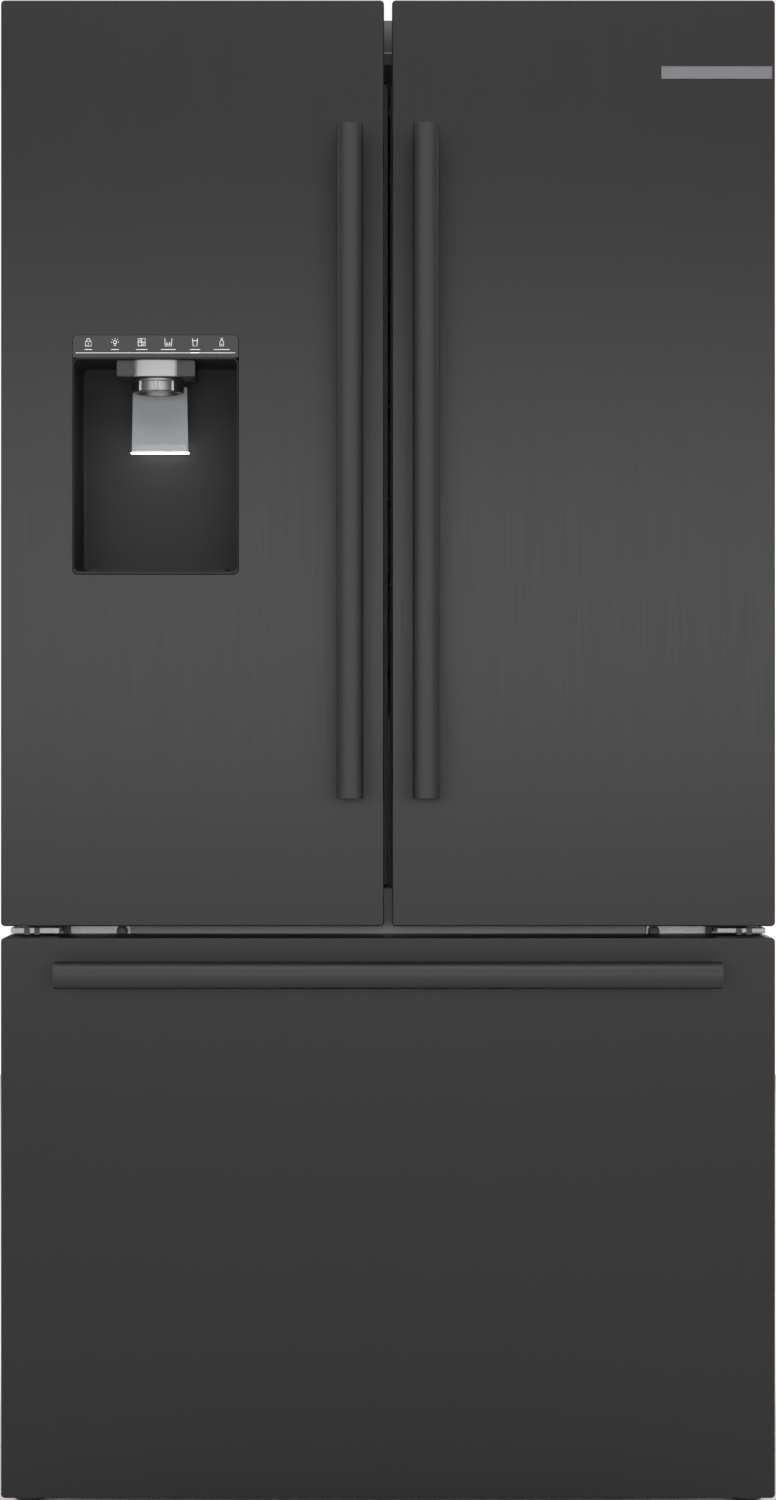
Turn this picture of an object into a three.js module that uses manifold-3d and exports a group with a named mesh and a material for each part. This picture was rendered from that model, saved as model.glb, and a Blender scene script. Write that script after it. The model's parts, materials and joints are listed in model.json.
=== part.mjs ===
// French door refrigerator with an ice and water dispenser and a bottom freezer drawer.
// Millimetres, +Z up, front towards -Y. Depths inside the model are measured back from the
// doors' front plane; one group at the end moves that plane to its place in the final frame.

import * as THREE from 'three';
import { mergeVertices } from 'three/addons/utils/BufferGeometryUtils.js';
import Module from 'manifold-3d';

const wasm = await Module();
wasm.setup();

// ---- Driving dimensions ------------------------------------------------------------------

const WIDTH = 906; // across both doors
const HEIGHT = 1778; // floor to the top of the doors
const BODY_DEPTH = 730; // doors' front plane to the back of the cabinet
const HANDLE_PROJECTION = 60; // front of the handles ahead of the doors

const FIT = 0.3; // gap between pieces that rest on each other
const SLIDE_FIT = 2; // running clearance round drawers, slides and rollers
const SHEET = 2; // steel sheet
const LINER_WALL = 3; // moulded liners, bins and baskets

const DOOR = {
  thickness: 92, // front plane to the inner face
  gap: 9.4, // between the two doors
  drawerGap: 13.5, // between the doors and the freezer drawer
  corner: 4.7, // outline corner radius
  gasketSpace: 12, // inner face to the cabinet's front flange
};
const DRAWER_FRONT = { bottom: 24.8, top: 680.7 };

const HINGE = {
  inset: 22.5, // axis to the outer edge of the door
  fromRear: 30, // axis ahead of the door's inner face
  pinRadius: 5,
  pinLength: 20,
  armHalf: 15.5, // half width of the top arm and of the cover's tongue
  armThickness: 4,
  armLength: 150,
};
const HINGE_RECESS = { ahead: 29, clearance: 2, drop: 3 };
const CENTER_HINGE = {
  armInner: 64,
  plateInner: 143.5,
  armAhead: 22, // arm's front edge ahead of the hinge axis
  armRise: 3.3,
  armThick: 6,
  plate: 3,
  lap: 8,
};

const CABINET = {
  inset: 3.5, // cabinet side inside the doors' outer edge
  bottom: 30,
  flange: 43.5, // width of the front flange each side of the opening
  topFlange: 40,
  railReach: 40, // rail above and below the gap between doors and drawer
  sill: 112, // top of the front sill below the freezer opening
  baseTop: 60,
  backWall: 50,
};
const TRIM = { height: 33, depth: 62, wall: 2.5 };
const HINGE_COVER = { width: 78, depth: 118 };
const MACHINE = { depth: 215, top: 318, insulation: 30 };
const RAIL_LIP = { depth: 20, fromEdge: 10 };

const GASKET = { width: 20, hingeInset: 1.5, freeInset: 3.3, railLap: 28, topLap: 7, sillLap: 2 };
const DYKE = { wall: 18, rise: 28, side: 10, rightFree: 31.3, leftFree: 53.3, end: 8 };

const HANDLE = { width: 30.5, depth: 22, crown: 11, post: 44, postInset: 2, postTrim: 2 };
const DOOR_HANDLE = { fromGap: 39.3, lift: 149.8, drop: 154 };
const DRAWER_HANDLE = { endMargin: 66, drop: 40.7 };

const DISPENSER = { fromSide: 83.7, width: 194.6, drop: 392, height: 280.2, corner: 6 };
const PANEL = { height: 26.5, proud: 1.5, depth: 30 };
const NICHE = { behindDoor: 8, wall: 3, side: 6.5, floor: 4, lip: 1 };
const NOZZLE = { half: 46.5, length: 56, fromBack: 32, height: 22, radius: 28, bore: 21, drop: 12 };
const PADDLE = { topHalf: 30, footHalf: 33, length: 86, thickness: 4, barrel: 4, fromBack: 24, drop: 23 };
const DRIP_TRAY = { side: 6, front: 6, height: 8, slots: 5, slotWidth: 6, slotDepth: 5 };
const ICE_BOX = {
  share: 0.782, // of the room inside the left door's dyke
  top: 22,
  bottom: 456,
  depth: 126,
  wall: 4,
  chute: 70,
};

const BIN = { height: 112, depth: 98, lip: 26, lipRise: 30 };
const LEFT_BIN_LIFT = 18; // bin floor above the dyke's lower edge
const RIGHT_BIN_COUNT = 3;
const PLATE = { width: 130, height: 15.2, side: 3.4, drop: 77.4, thickness: 1 };

const SHELF = { behindFace: 136, glass: 5, railHeight: 14, railDepth: 12, arm: 6, armDrop: 42, side: 6 };
const DUCT = { half: 62, taper: 16, depth: 40, top: 16 };
const CRISPER = { sideGap: 21, middle: 10, floor: 8, height: 186, front: 12, lip: 14, lipHeight: 10 };
const CRISPER_COVER = { divider: 4, lift: 12 };
const LIGHT = { half: 150, behindFace: 146, depth: 90, height: 12, bevel: 5 };

const SLIDE = {
  share: 0.17, // foot of the slides, up from the step to the rail
  height: 50,
  web: 3.7,
  lip: 3,
  reach: 16,
  behindFace: 26,
  backGap: 22,
  ledgeShare: 0.3, // tray's ledge, up from the slides to the rail
  ledgeReach: 18,
};
const CARRIER = { inner: 24, thickness: 18, bar: 14, backGap: 43 };
const BASKET = { side: 30, behindFace: 21, aboveSill: 13, rim: 12.5, rimThick: 3.5 };
const TRAY = { lift: 8, topShare: 0.72, rimThick: 4 }; // top, up from the slides to the rail
const MULLION = { pivot: -46, half: 10, tip: 0, chamfer: 4, end: 4 };

const FOOT = { fromSide: 22, behindFace: 9, radius: 20, pad: 8, stem: 5, length: 50 };
const ROLLER = { fromSide: 41, fromBack: 70, radius: 25, width: 22, axle: 5 };
const SIDE_RAIL = { width: 14, frontCross: 24 };
const GRILLE = { sideGap: 6, bottom: 8, depth: 6, slots: 18, slotWidth: 14, slotMargin: 6 };
const COMPRESSOR = { x: -220, radius: 78, height: 190, base: 4, baseHalf: 92, fromBack: 115 };
const FAN = {
  x: 120,
  height: 180,
  hub: 20,
  hubLength: 24,
  blades: 5,
  blade: 52,
  chord: 38,
  pitch: 0.55,
  thick: 3,
};
const FAN_MOTOR = { radius: 22, length: 24, gap: 6, bracket: 30 };
const VENT = { columns: 6, rows: 5, width: 90, height: 9 };

const ROUND_STEPS = 24; // sides on a round piece
const CROWN_STEPS = 14; // steps across a handle's crowned face

// ---- Places that follow from the dimensions ----------------------------------------------

const halfWidth = WIDTH / 2;
const cabinetHalf = halfWidth - CABINET.inset;
const insideHalf = cabinetHalf - SHEET - FIT; // inside the cabinet's side sheets
const openingHalf = cabinetHalf - CABINET.flange;
const face = DOOR.thickness + DOOR.gasketSpace; // front of the cabinet's flange
const behindFace = face + SHEET + FIT;
const back = BODY_DEPTH;
const caseTop = HEIGHT - TRIM.height;
const doorBottom = DRAWER_FRONT.top + DOOR.drawerGap;
const railBottom = DRAWER_FRONT.top - CABINET.railReach;
const fridgeFloor = doorBottom + CABINET.railReach;
const fridgeTop = caseTop - CABINET.topFlange;
const linerBack = back - CABINET.backWall; // inner face of the liners' back walls
const hingeX = halfWidth - HINGE.inset;
const hingeDepth = DOOR.thickness - HINGE.fromRear;
const freeEdge = DOOR.gap / 2;
const machineFront = back - MACHINE.depth;
const stepBack = machineFront - MACHINE.insulation; // back wall of the freezer's lower part
const stepTop = MACHINE.top + MACHINE.insulation;
const nicheMiddle = -(halfWidth - DISPENSER.fromSide - DISPENSER.width / 2);
const dispenserTop = HEIGHT - DISPENSER.drop;
const dispenserBottom = dispenserTop - DISPENSER.height;
const nicheTop = dispenserTop - PANEL.height;
const nicheCeiling = nicheTop - FIT - NICHE.wall;
const nicheBack = DOOR.thickness + NICHE.behindDoor;
const crisperTop = fridgeFloor + CRISPER.floor + CRISPER.height;
const coverTop = crisperTop + CRISPER_COVER.lift;
const shelfFront = face + SHELF.behindFace;
const shelfBack = linerBack - DUCT.depth - SLIDE_FIT;
const crisperSide = openingHalf - CRISPER.sideGap;
const slideFront = face + SLIDE.behindFace;
const slideBottom = stepTop + SLIDE.share * (railBottom - stepTop);
const slideTop = slideBottom + SLIDE.height;
const ledgeTop = slideTop + SLIDE.ledgeShare * (railBottom - slideTop);
const trayTop = slideTop + TRAY.topShare * (railBottom - slideTop);
const footDepth = face + FOOT.behindFace;
const dykeBottom = fridgeFloor + DYKE.end;
const dykeTop = fridgeTop - DYKE.end;

// ---- Helpers -----------------------------------------------------------------------------

const AXIS = {
  x: new THREE.Vector3(1, 0, 0),
  y: new THREE.Vector3(0, 1, 0),
  z: new THREE.Vector3(0, 0, 1),
  forward: new THREE.Vector3(0, -1, 0),
};

/** A closed three.js geometry as a solid that can be joined and cut. */
function solid(geometry) {
  const bare = geometry.index ? geometry.toNonIndexed() : geometry.clone();
  bare.deleteAttribute('normal');
  bare.deleteAttribute('uv');
  const merged = mergeVertices(bare, 1e-4);
  const vertProperties = new Float32Array(merged.attributes.position.array);
  const triVerts = new Uint32Array(merged.index.array);
  return new wasm.Manifold(new wasm.Mesh({ numProp: 3, vertProperties, triVerts }));
}

/** A box between two corners given as a range on each axis. */
function block([x0, x1], [y0, y1], [z0, z1]) {
  const box = new THREE.BoxGeometry(x1 - x0, y1 - y0, z1 - z0);
  box.translate((x0 + x1) / 2, (y0 + y1) / 2, (z0 + z1) / 2);
  return solid(box);
}

/** An outline in X and Z, extruded from one depth to another. */
function prismY(shape, [y0, y1], curveSegments = 6) {
  const prism = new THREE.ExtrudeGeometry(shape, { depth: y1 - y0, bevelEnabled: false, curveSegments });
  prism.applyMatrix4(new THREE.Matrix4().makeBasis(AXIS.x, AXIS.z, AXIS.forward));
  prism.translate(0, y1, 0);
  return solid(prism);
}

/** An outline in Y and Z, extruded from one X to another. */
function prismX(shape, [x0, x1], curveSegments = 6) {
  const prism = new THREE.ExtrudeGeometry(shape, { depth: x1 - x0, bevelEnabled: false, curveSegments });
  prism.applyMatrix4(new THREE.Matrix4().makeBasis(AXIS.y, AXIS.z, AXIS.x));
  prism.translate(x0, 0, 0);
  return solid(prism);
}

/** An outline in X and Y, extruded from one height to another. */
function prismZ(shape, [z0, z1], curveSegments = 6) {
  const prism = new THREE.ExtrudeGeometry(shape, { depth: z1 - z0, bevelEnabled: false, curveSegments });
  prism.translate(0, 0, z0);
  return solid(prism);
}

/** A cylinder along X, Y or Z between two places on that axis. */
function rod(axis, [start, end], radius, [a, b]) {
  const cylinder = new THREE.CylinderGeometry(radius, radius, end - start, ROUND_STEPS);
  const middle = (start + end) / 2;
  if (axis === 'x') cylinder.rotateZ(-Math.PI / 2).translate(middle, a, b);
  if (axis === 'y') cylinder.translate(a, middle, b);
  if (axis === 'z') cylinder.rotateX(Math.PI / 2).translate(a, b, middle);
  return solid(cylinder);
}

/** A polygon through the given points. */
function polygon(points) {
  return new THREE.Shape(points.map(([a, b]) => new THREE.Vector2(a, b)));
}

/** A rectangle with a radius on each corner. */
function roundedRect([a0, a1], [b0, b1], radius) {
  const shape = new THREE.Shape();
  shape.absarc(a1 - radius, b0 + radius, radius, -Math.PI / 2, 0);
  shape.absarc(a1 - radius, b1 - radius, radius, 0, Math.PI / 2);
  shape.absarc(a0 + radius, b1 - radius, radius, Math.PI / 2, Math.PI);
  shape.absarc(a0 + radius, b0 + radius, radius, Math.PI, 1.5 * Math.PI);
  return shape;
}

function join(first, ...others) {
  return others.reduce((whole, other) => whole.add(other), first);
}

function cut(first, ...others) {
  return others.reduce((whole, other) => whole.subtract(other), first);
}

/** A range on one side of the middle plane: side is -1 on the left and 1 on the right. */
function sided(side, near, far) {
  return side > 0 ? [near, far] : [-far, -near];
}

function both(half) {
  return [-half, half];
}

function grown([low, high], by) {
  return [low - by, high + by];
}

/** A named mesh of one solid with its own material. */
function piece(name, body, finish) {
  const mesh = body.getMesh();
  const geometry = new THREE.BufferGeometry();
  geometry.setAttribute('position', new THREE.BufferAttribute(new Float32Array(mesh.vertProperties), 3));
  geometry.setIndex(new THREE.BufferAttribute(new Uint32Array(mesh.triVerts), 1));
  const node = new THREE.Mesh(geometry, new THREE.MeshStandardMaterial(finish));
  node.name = name;
  return node;
}

const FINISH = {
  blackStainless: { color: 0x46474a, roughness: 0.38, metalness: 0.9 },
  cabinetPaint: { color: 0x5b5c5e, roughness: 0.55, metalness: 0.1 },
  zincSteel: { color: 0xa9abad, roughness: 0.4, metalness: 0.9 },
  darkSteel: { color: 0x2c2d2f, roughness: 0.5, metalness: 0.7 },
  liner: { color: 0xeceded, roughness: 0.45, metalness: 0 },
  blackPlastic: { color: 0x232426, roughness: 0.5, metalness: 0 },
  greyPlastic: { color: 0x4b4c4e, roughness: 0.5, metalness: 0 },
  clearPlastic: { color: 0xd7e2e6, roughness: 0.2, metalness: 0 },
  shelfGlass: { color: 0xcfe0dc, roughness: 0.1, metalness: 0 },
  gasket: { color: 0x1d1e1f, roughness: 0.8, metalness: 0 },
  foam: { color: 0xd9c58c, roughness: 0.9, metalness: 0 },
  light: { color: 0xf6f7f4, roughness: 0.4, metalness: 0 },
  plate: { color: 0x9c9ea0, roughness: 0.3, metalness: 0.9 },
};

// ---- Cabinet -----------------------------------------------------------------------------

function cabinetWrapper() {
  const outer = block(both(cabinetHalf), [face, back], [CABINET.bottom, caseTop]);
  const low = CABINET.bottom - SHEET;
  const hollow = block(both(cabinetHalf - SHEET), [face + SHEET, back + SHEET], [low, caseTop - SHEET]);
  const opening = block(both(openingHalf), [face - SHEET, face + 2 * SHEET], [low, fridgeTop]);
  return cut(outer, hollow, opening);
}

function backPanel() {
  return block(both(insideHalf), [back - SHEET, back], [MACHINE.top, caseTop - SHEET - FIT]);
}

/** Outline of the freezer room seen from the side, stepped over the machine compartment. */
function freezerOutline(front, grow) {
  return polygon([
    [front, CABINET.sill - grow],
    [stepBack + grow, CABINET.sill - grow],
    [stepBack + grow, stepTop - grow],
    [linerBack + grow, stepTop - grow],
    [linerBack + grow, railBottom + grow],
    [front, railBottom + grow],
  ]);
}

function cabinetFoam() {
  const grow = LINER_WALL + FIT;
  const depths = [behindFace, back - SHEET - FIT];
  const whole = block(both(insideHalf), depths, [CABINET.baseTop + FIT, caseTop - SHEET - FIT]);
  const fridge = block(
    both(openingHalf + grow), [face, linerBack + grow], [fridgeFloor - grow, fridgeTop + grow]);
  const freezer = prismX(freezerOutline(face, grow), both(openingHalf + grow));
  const machine = block(both(insideHalf + FIT), [machineFront, back], [0, MACHINE.top]);
  const lips = block(
    both(openingHalf), [face, face + SHEET + RAIL_LIP.depth + FIT],
    [railBottom + RAIL_LIP.fromEdge - FIT, fridgeFloor - RAIL_LIP.fromEdge + FIT]);
  const sideRails = [-1, 1].map((side) => block(
    sided(side, insideHalf - SIDE_RAIL.width - FIT, insideHalf + FIT), [face, back],
    [0, CABINET.baseTop + FIT]));
  return cut(whole, fridge, freezer, machine, lips, ...sideRails);
}

function fridgeLiner() {
  const outer = block(
    both(openingHalf + LINER_WALL), [behindFace, linerBack + LINER_WALL],
    [fridgeFloor - LINER_WALL, fridgeTop + LINER_WALL]);
  return cut(outer, block(both(openingHalf), [face, linerBack], [fridgeFloor, fridgeTop]));
}

function freezerLiner() {
  const outer = prismX(freezerOutline(behindFace, LINER_WALL), both(openingHalf + LINER_WALL));
  return cut(outer, prismX(freezerOutline(face, 0), both(openingHalf)));
}

function centerRail() {
  const half = openingHalf - FIT;
  const plate = block(both(half), [face, face + SHEET], [railBottom, fridgeFloor]);
  const lipDepths = [face, face + SHEET + RAIL_LIP.depth];
  const lowLip = railBottom + RAIL_LIP.fromEdge;
  const highLip = fridgeFloor - RAIL_LIP.fromEdge;
  const lower = block(both(half), lipDepths, [lowLip, lowLip + SHEET]);
  const upper = block(both(half), lipDepths, [highLip - SHEET, highLip]);
  return join(plate, lower, upper);
}

function topTrim() {
  const half = cabinetHalf - HINGE_COVER.width - FIT;
  const depths = [face + SHEET, face + SHEET + TRIM.depth];
  const outer = block(both(half), depths, [caseTop + FIT, HEIGHT]);
  const hollow = block(both(half - TRIM.wall), grown(depths, -TRIM.wall), [caseTop, HEIGHT - TRIM.wall]);
  return cut(outer, hollow);
}

/** Plan outline of the hinge arm: straight from the case to a round end on the hinge axis. */
function tongueOutline(side, half, end) {
  const x = side * hingeX;
  const shape = new THREE.Shape();
  shape.moveTo(x - half, end);
  shape.lineTo(x - half, hingeDepth);
  shape.absarc(x, hingeDepth, half, Math.PI, 2 * Math.PI);
  shape.lineTo(x + half, end);
  return shape;
}

function topHinge(side) {
  const heights = [caseTop + FIT, caseTop + FIT + HINGE.armThickness];
  const arm = prismZ(tongueOutline(side, HINGE.armHalf, hingeDepth + HINGE.armLength), heights);
  const pin = rod('z', [caseTop - HINGE.pinLength, heights[1]], HINGE.pinRadius, [side * hingeX, hingeDepth]);
  return join(arm, pin);
}

function hingeCover(side) {
  const front = face + SHEET;
  const depths = [front, front + HINGE_COVER.depth];
  const inner = cabinetHalf - HINGE_COVER.width;
  const outer = block(sided(side, inner, cabinetHalf), depths, [caseTop + FIT, HEIGHT]);
  const room = block(
    sided(side, inner + TRIM.wall, cabinetHalf - TRIM.wall), grown(depths, -TRIM.wall),
    [caseTop, HEIGHT - TRIM.wall]);
  const armTop = caseTop + FIT + HINGE.armThickness + FIT;
  const slot = block(
    grown([side * hingeX, side * hingeX], HINGE.armHalf + FIT), [front - FIT, front + 2 * TRIM.wall],
    [caseTop, armTop]);
  const tongue = prismZ(tongueOutline(side, HINGE.armHalf, front + FIT), [armTop, HEIGHT]);
  return join(cut(outer, room, slot), tongue);
}

function centerHinge(side) {
  const armBottom = DRAWER_FRONT.top + CENTER_HINGE.armRise;
  const armTop = armBottom + CENTER_HINGE.armThick;
  const rear = face - FIT;
  const arm = block(
    sided(side, halfWidth - CENTER_HINGE.armInner, cabinetHalf - CABINET.inset),
    [hingeDepth - CENTER_HINGE.armAhead, rear], [armBottom, armTop]);
  const plate = block(
    sided(side, halfWidth - CENTER_HINGE.plateInner, cabinetHalf - CABINET.inset),
    [rear - CENTER_HINGE.plate, rear], [armBottom - CENTER_HINGE.lap, armTop + CENTER_HINGE.lap]);
  const axis = [side * hingeX, hingeDepth];
  const pin = rod('z', [armBottom, doorBottom + HINGE.pinLength], HINGE.pinRadius, axis);
  const collar = rod('z', [armTop - FIT, doorBottom - FIT], 2 * HINGE.pinRadius, axis);
  return join(arm, plate, pin, collar);
}

// ---- Base and machine compartment --------------------------------------------------------

function rollerBracket(side, nearX, farX) {
  const middle = back - ROLLER.fromBack;
  const bottom = ROLLER.radius - ROLLER.axle - SHEET;
  const depths = [middle - ROLLER.radius, back - 2 * ROLLER.axle];
  return block(sided(side, nearX, farX), depths, [bottom, CABINET.baseTop]);
}

function rollerMiddle(side) {
  return side * (halfWidth - ROLLER.fromSide);
}

function baseSide(side) {
  const inner = insideHalf - SIDE_RAIL.width;
  const rail = block(
    sided(side, inner, insideHalf), [behindFace, back - SHEET - FIT], [CABINET.bottom, CABINET.baseTop]);
  const wheelInner = Math.abs(rollerMiddle(side)) - ROLLER.width / 2 - SLIDE_FIT;
  const outerBracket = rollerBracket(side, inner, insideHalf);
  const innerBracket = rollerBracket(side, wheelInner - SIDE_RAIL.width / 2, wheelInner);
  const footX = halfWidth - FOOT.fromSide;
  const footBracket = block(
    sided(side, footX - FOOT.radius, insideHalf), [behindFace, face + SIDE_RAIL.frontCross + SHEET],
    [FOOT.length - 2 * FOOT.stem, CABINET.baseTop - SHEET]);
  const stemHole = rod('z', [0, CABINET.baseTop], FOOT.stem + FIT, [side * footX, footDepth]);
  const axleHole = rod(
    'x', sided(side, 0, insideHalf + FIT), ROLLER.axle + FIT, [back - ROLLER.fromBack, ROLLER.radius]);
  return cut(join(rail, outerBracket, innerBracket, footBracket), stemHole, axleHole);
}

function baseFrame() {
  const half = openingHalf - FIT;
  const reach = insideHalf - SIDE_RAIL.width / 2;
  const crossTop = CABINET.baseTop;
  const crossHeights = [FOOT.length - 2 * FOOT.stem, crossTop];
  const frontCross = block(both(half), [face, face + SIDE_RAIL.frontCross], crossHeights);
  const frontTie = block(both(reach), [footDepth + 2 * FOOT.stem, face + SIDE_RAIL.frontCross], crossHeights);
  const sill = block(both(half), [face, face + SHEET], [crossTop - SHEET, CABINET.sill]);
  const rear = back - SHEET - FIT;
  const rearCross = block(both(reach), [back - SIDE_RAIL.frontCross, rear], [CABINET.bottom, crossTop]);
  const floor = block(both(reach), [machineFront, rear], [crossTop - 2 * SHEET, crossTop]);
  const motorX = FAN.x + FAN.hubLength / 2 + FAN_MOTOR.gap;
  const fanY = back - COMPRESSOR.fromBack;
  const motor = rod('x', [motorX, motorX + FAN_MOTOR.length], FAN_MOTOR.radius, [fanY, FAN.height]);
  const post = block(
    [motorX + SHEET, motorX + 3 * SHEET], [fanY - FAN_MOTOR.bracket / 2, fanY + FAN_MOTOR.bracket / 2],
    [crossTop - SHEET, FAN.height]);
  return join(frontCross, frontTie, sill, rearCross, floor, post, motor, baseSide(-1), baseSide(1));
}

function toeGrille() {
  const heights = [GRILLE.bottom, FOOT.length - 2 * FOOT.stem - SLIDE_FIT];
  const half = openingHalf - GRILLE.sideGap;
  const plate = block(both(half), [face, face + GRILLE.depth], heights);
  const pitch = (2 * half) / GRILLE.slots;
  const slots = [];
  for (let i = 0; i < GRILLE.slots; i += 1) {
    const middle = -half + (i + 0.5) * pitch;
    const span = [middle - GRILLE.slotWidth / 2, middle + GRILLE.slotWidth / 2];
    slots.push(block(span, [face - SHEET, face + 2 * GRILLE.depth], grown(heights, -GRILLE.slotMargin)));
  }
  return cut(plate, ...slots);
}

function levellingFoot() {
  const profile = [
    [0, 0],
    [FOOT.radius - SHEET, 0],
    [FOOT.radius, SHEET],
    [FOOT.radius, FOOT.pad - SHEET],
    [FOOT.stem + SHEET, FOOT.pad],
    [FOOT.stem, FOOT.pad + SHEET],
    [FOOT.stem, FOOT.length],
    [0, FOOT.length],
  ].map(([r, z]) => new THREE.Vector2(r, z));
  return solid(new THREE.LatheGeometry(profile, ROUND_STEPS).rotateX(Math.PI / 2));
}

/** Wheel with its axle, on the X axis, the longer stub on the outer side. */
function rearRoller(side) {
  const half = ROLLER.width / 2;
  const outerEnd = insideHalf - Math.abs(rollerMiddle(side)) - SHEET;
  const innerEnd = half + SIDE_RAIL.width / 2;
  const wheel = rod('x', both(half), ROLLER.radius, [0, 0]);
  const axle = rod('x', side > 0 ? [-innerEnd, outerEnd] : [-outerEnd, innerEnd], ROLLER.axle, [0, 0]);
  return join(wheel, axle);
}

function compressor() {
  const { radius, height, base } = COMPRESSOR;
  const shoulder = radius / 2;
  const profile = [
    [0, base],
    [radius - shoulder / 2, base],
    [radius, base + shoulder / 2],
    [radius, height - shoulder],
    [radius - shoulder / 3, height - shoulder / 3],
    [radius - shoulder, height],
    [0, height],
  ].map(([r, z]) => new THREE.Vector2(r, z));
  const shell = solid(new THREE.LatheGeometry(profile, ROUND_STEPS).rotateX(Math.PI / 2));
  const plate = block(both(COMPRESSOR.baseHalf), both(COMPRESSOR.baseHalf), [0, base + SHEET / 2]);
  const stub = rod('z', [height / 2, height + shoulder / 2], SHEET * 2, [radius - shoulder / 2, 0]);
  return join(shell, plate, stub);
}

/** Fan on the X axis: a hub with twisted blades. */
function condenserFan() {
  const hub = rod('x', both(FAN.hubLength / 2), FAN.hub, [0, 0]);
  const blades = [];
  for (let i = 0; i < FAN.blades; i += 1) {
    const blade = new THREE.BoxGeometry(FAN.thick, FAN.chord, FAN.blade);
    blade.rotateZ(FAN.pitch);
    blade.translate(0, 0, FAN.hub - SHEET + FAN.blade / 2);
    blade.rotateX((i * 2 * Math.PI) / FAN.blades);
    blades.push(solid(blade));
  }
  return join(hub, ...blades);
}

function machineCover() {
  const heights = [CABINET.baseTop + FIT, MACHINE.top - FIT];
  const depths = [back - SHEET, back];
  const stepX = (2 * insideHalf) / VENT.columns;
  const stepZ = (heights[1] - heights[0]) / (VENT.rows + 1);
  const slots = [];
  for (let column = 0; column < VENT.columns; column += 1) {
    for (let row = 1; row <= VENT.rows; row += 1) {
      const x = -insideHalf + (column + 0.5) * stepX;
      const z = heights[0] + row * stepZ;
      slots.push(block(grown([x, x], VENT.width / 2), grown(depths, SHEET), grown([z, z], VENT.height / 2)));
    }
  }
  return cut(block(both(insideHalf), depths, heights), ...slots);
}

// ---- Fridge interior ---------------------------------------------------------------------

function airDuct() {
  const wall = linerBack - FIT;
  const front = linerBack - DUCT.depth;
  const outline = polygon([
    [-DUCT.half, wall],
    [-DUCT.half + DUCT.taper, front],
    [DUCT.half - DUCT.taper, front],
    [DUCT.half, wall],
  ]);
  return prismZ(outline, [coverTop + SLIDE_FIT, fridgeTop - DUCT.top]);
}

/** Half-width glass shelf with its front and rear rails and two side arms. */
function halfShelf(side, top) {
  const [near, far] = [SLIDE_FIT, openingHalf - SLIDE_FIT];
  const width = sided(side, near, far);
  const glass = block(width, [shelfFront, shelfBack], [top - SHELF.glass, top]);
  const railBase = top - SHELF.railHeight;
  const frontRail = block(width, [shelfFront, shelfFront + SHELF.railDepth], [railBase, top + SHEET]);
  const rearRail = block(width, [shelfBack - SHELF.railDepth, shelfBack], [railBase, top + SHELF.glass]);
  const armOutline = polygon([
    [shelfFront + SHELF.railDepth, top - SHELF.glass],
    [shelfFront + SHELF.railDepth, railBase],
    [shelfBack, top - SHELF.armDrop],
    [shelfBack, top - SHELF.glass],
  ]);
  const arms = [near + SHELF.side, far - SHELF.side - SHELF.arm].map((x) => (
    prismX(armOutline, sided(side, x, x + SHELF.arm))));
  return join(glass, frontRail, rearRail, ...arms);
}

/** Full-width cover over the crispers, on a middle wall and two side runners. */
function crisperCover() {
  const half = openingHalf - FIT;
  const depths = [shelfFront, linerBack - DUCT.depth];
  const glass = block(both(half), depths, [coverTop - SHELF.glass, coverTop]);
  const rail = block(
    both(half), [shelfFront, shelfFront + SHELF.railDepth], [crisperTop + FIT, coverTop]);
  const wall = block(both(CRISPER_COVER.divider), depths, [fridgeFloor + FIT, coverTop - SHELF.glass / 2]);
  const runnerInner = crisperSide + SLIDE_FIT;
  const runners = [-1, 1].map((side) => block(
    sided(side, runnerInner, half), depths, [fridgeFloor + FIT, coverTop - SHELF.glass / 2]));
  return join(glass, rail, wall, ...runners);
}

/** Crisper drawer, open on top, with a finger lip along its front. */
function crisper(side) {
  const floor = fridgeFloor + CRISPER.floor;
  const back0 = linerBack - DUCT.depth;
  const outer = block(sided(side, CRISPER.middle, crisperSide), [shelfFront, back0], [floor, crisperTop]);
  const inside = block(
    sided(side, CRISPER.middle + LINER_WALL, crisperSide - LINER_WALL),
    [shelfFront + CRISPER.front, back0 - LINER_WALL], [floor + LINER_WALL, crisperTop + FIT]);
  const lip = block(
    sided(side, CRISPER.middle, crisperSide), [shelfFront - CRISPER.lip, shelfFront + FIT],
    [crisperTop - 2 * CRISPER.lipHeight, crisperTop - CRISPER.lipHeight]);
  return join(cut(outer, inside), lip);
}

function ceilingLight() {
  const top = fridgeTop - FIT;
  const bottom = fridgeTop - LIGHT.height;
  const front = face + LIGHT.behindFace;
  const outline = polygon([
    [front, top],
    [front + LIGHT.bevel, bottom],
    [front + LIGHT.depth - LIGHT.bevel, bottom],
    [front + LIGHT.depth, top],
  ]);
  return prismX(outline, both(LIGHT.half));
}

// ---- Doors -------------------------------------------------------------------------------

function doorSpan(side) {
  return sided(side, freeEdge, halfWidth);
}

/** Room in the door's top corner for the fixed hinge arm and the cover's tongue. */
function hingeRecess(side) {
  return block(
    sided(side, hingeX - HINGE.armHalf - HINGE_RECESS.clearance, halfWidth + SHEET),
    [hingeDepth - HINGE_RECESS.ahead, DOOR.thickness + SHEET], [caseTop - HINGE_RECESS.drop, HEIGHT + SHEET]);
}

function pinBore(side, heights) {
  return rod('z', heights, HINGE.pinRadius + FIT, [side * hingeX, hingeDepth]);
}

function doorBores(side) {
  const over = HINGE.pinLength + SLIDE_FIT;
  return [pinBore(side, [doorBottom - SHEET, doorBottom + over]), pinBore(side, [caseTop - over, HEIGHT])];
}

function dispenserSpan() {
  return [nicheMiddle - DISPENSER.width / 2, nicheMiddle + DISPENSER.width / 2];
}

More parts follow.
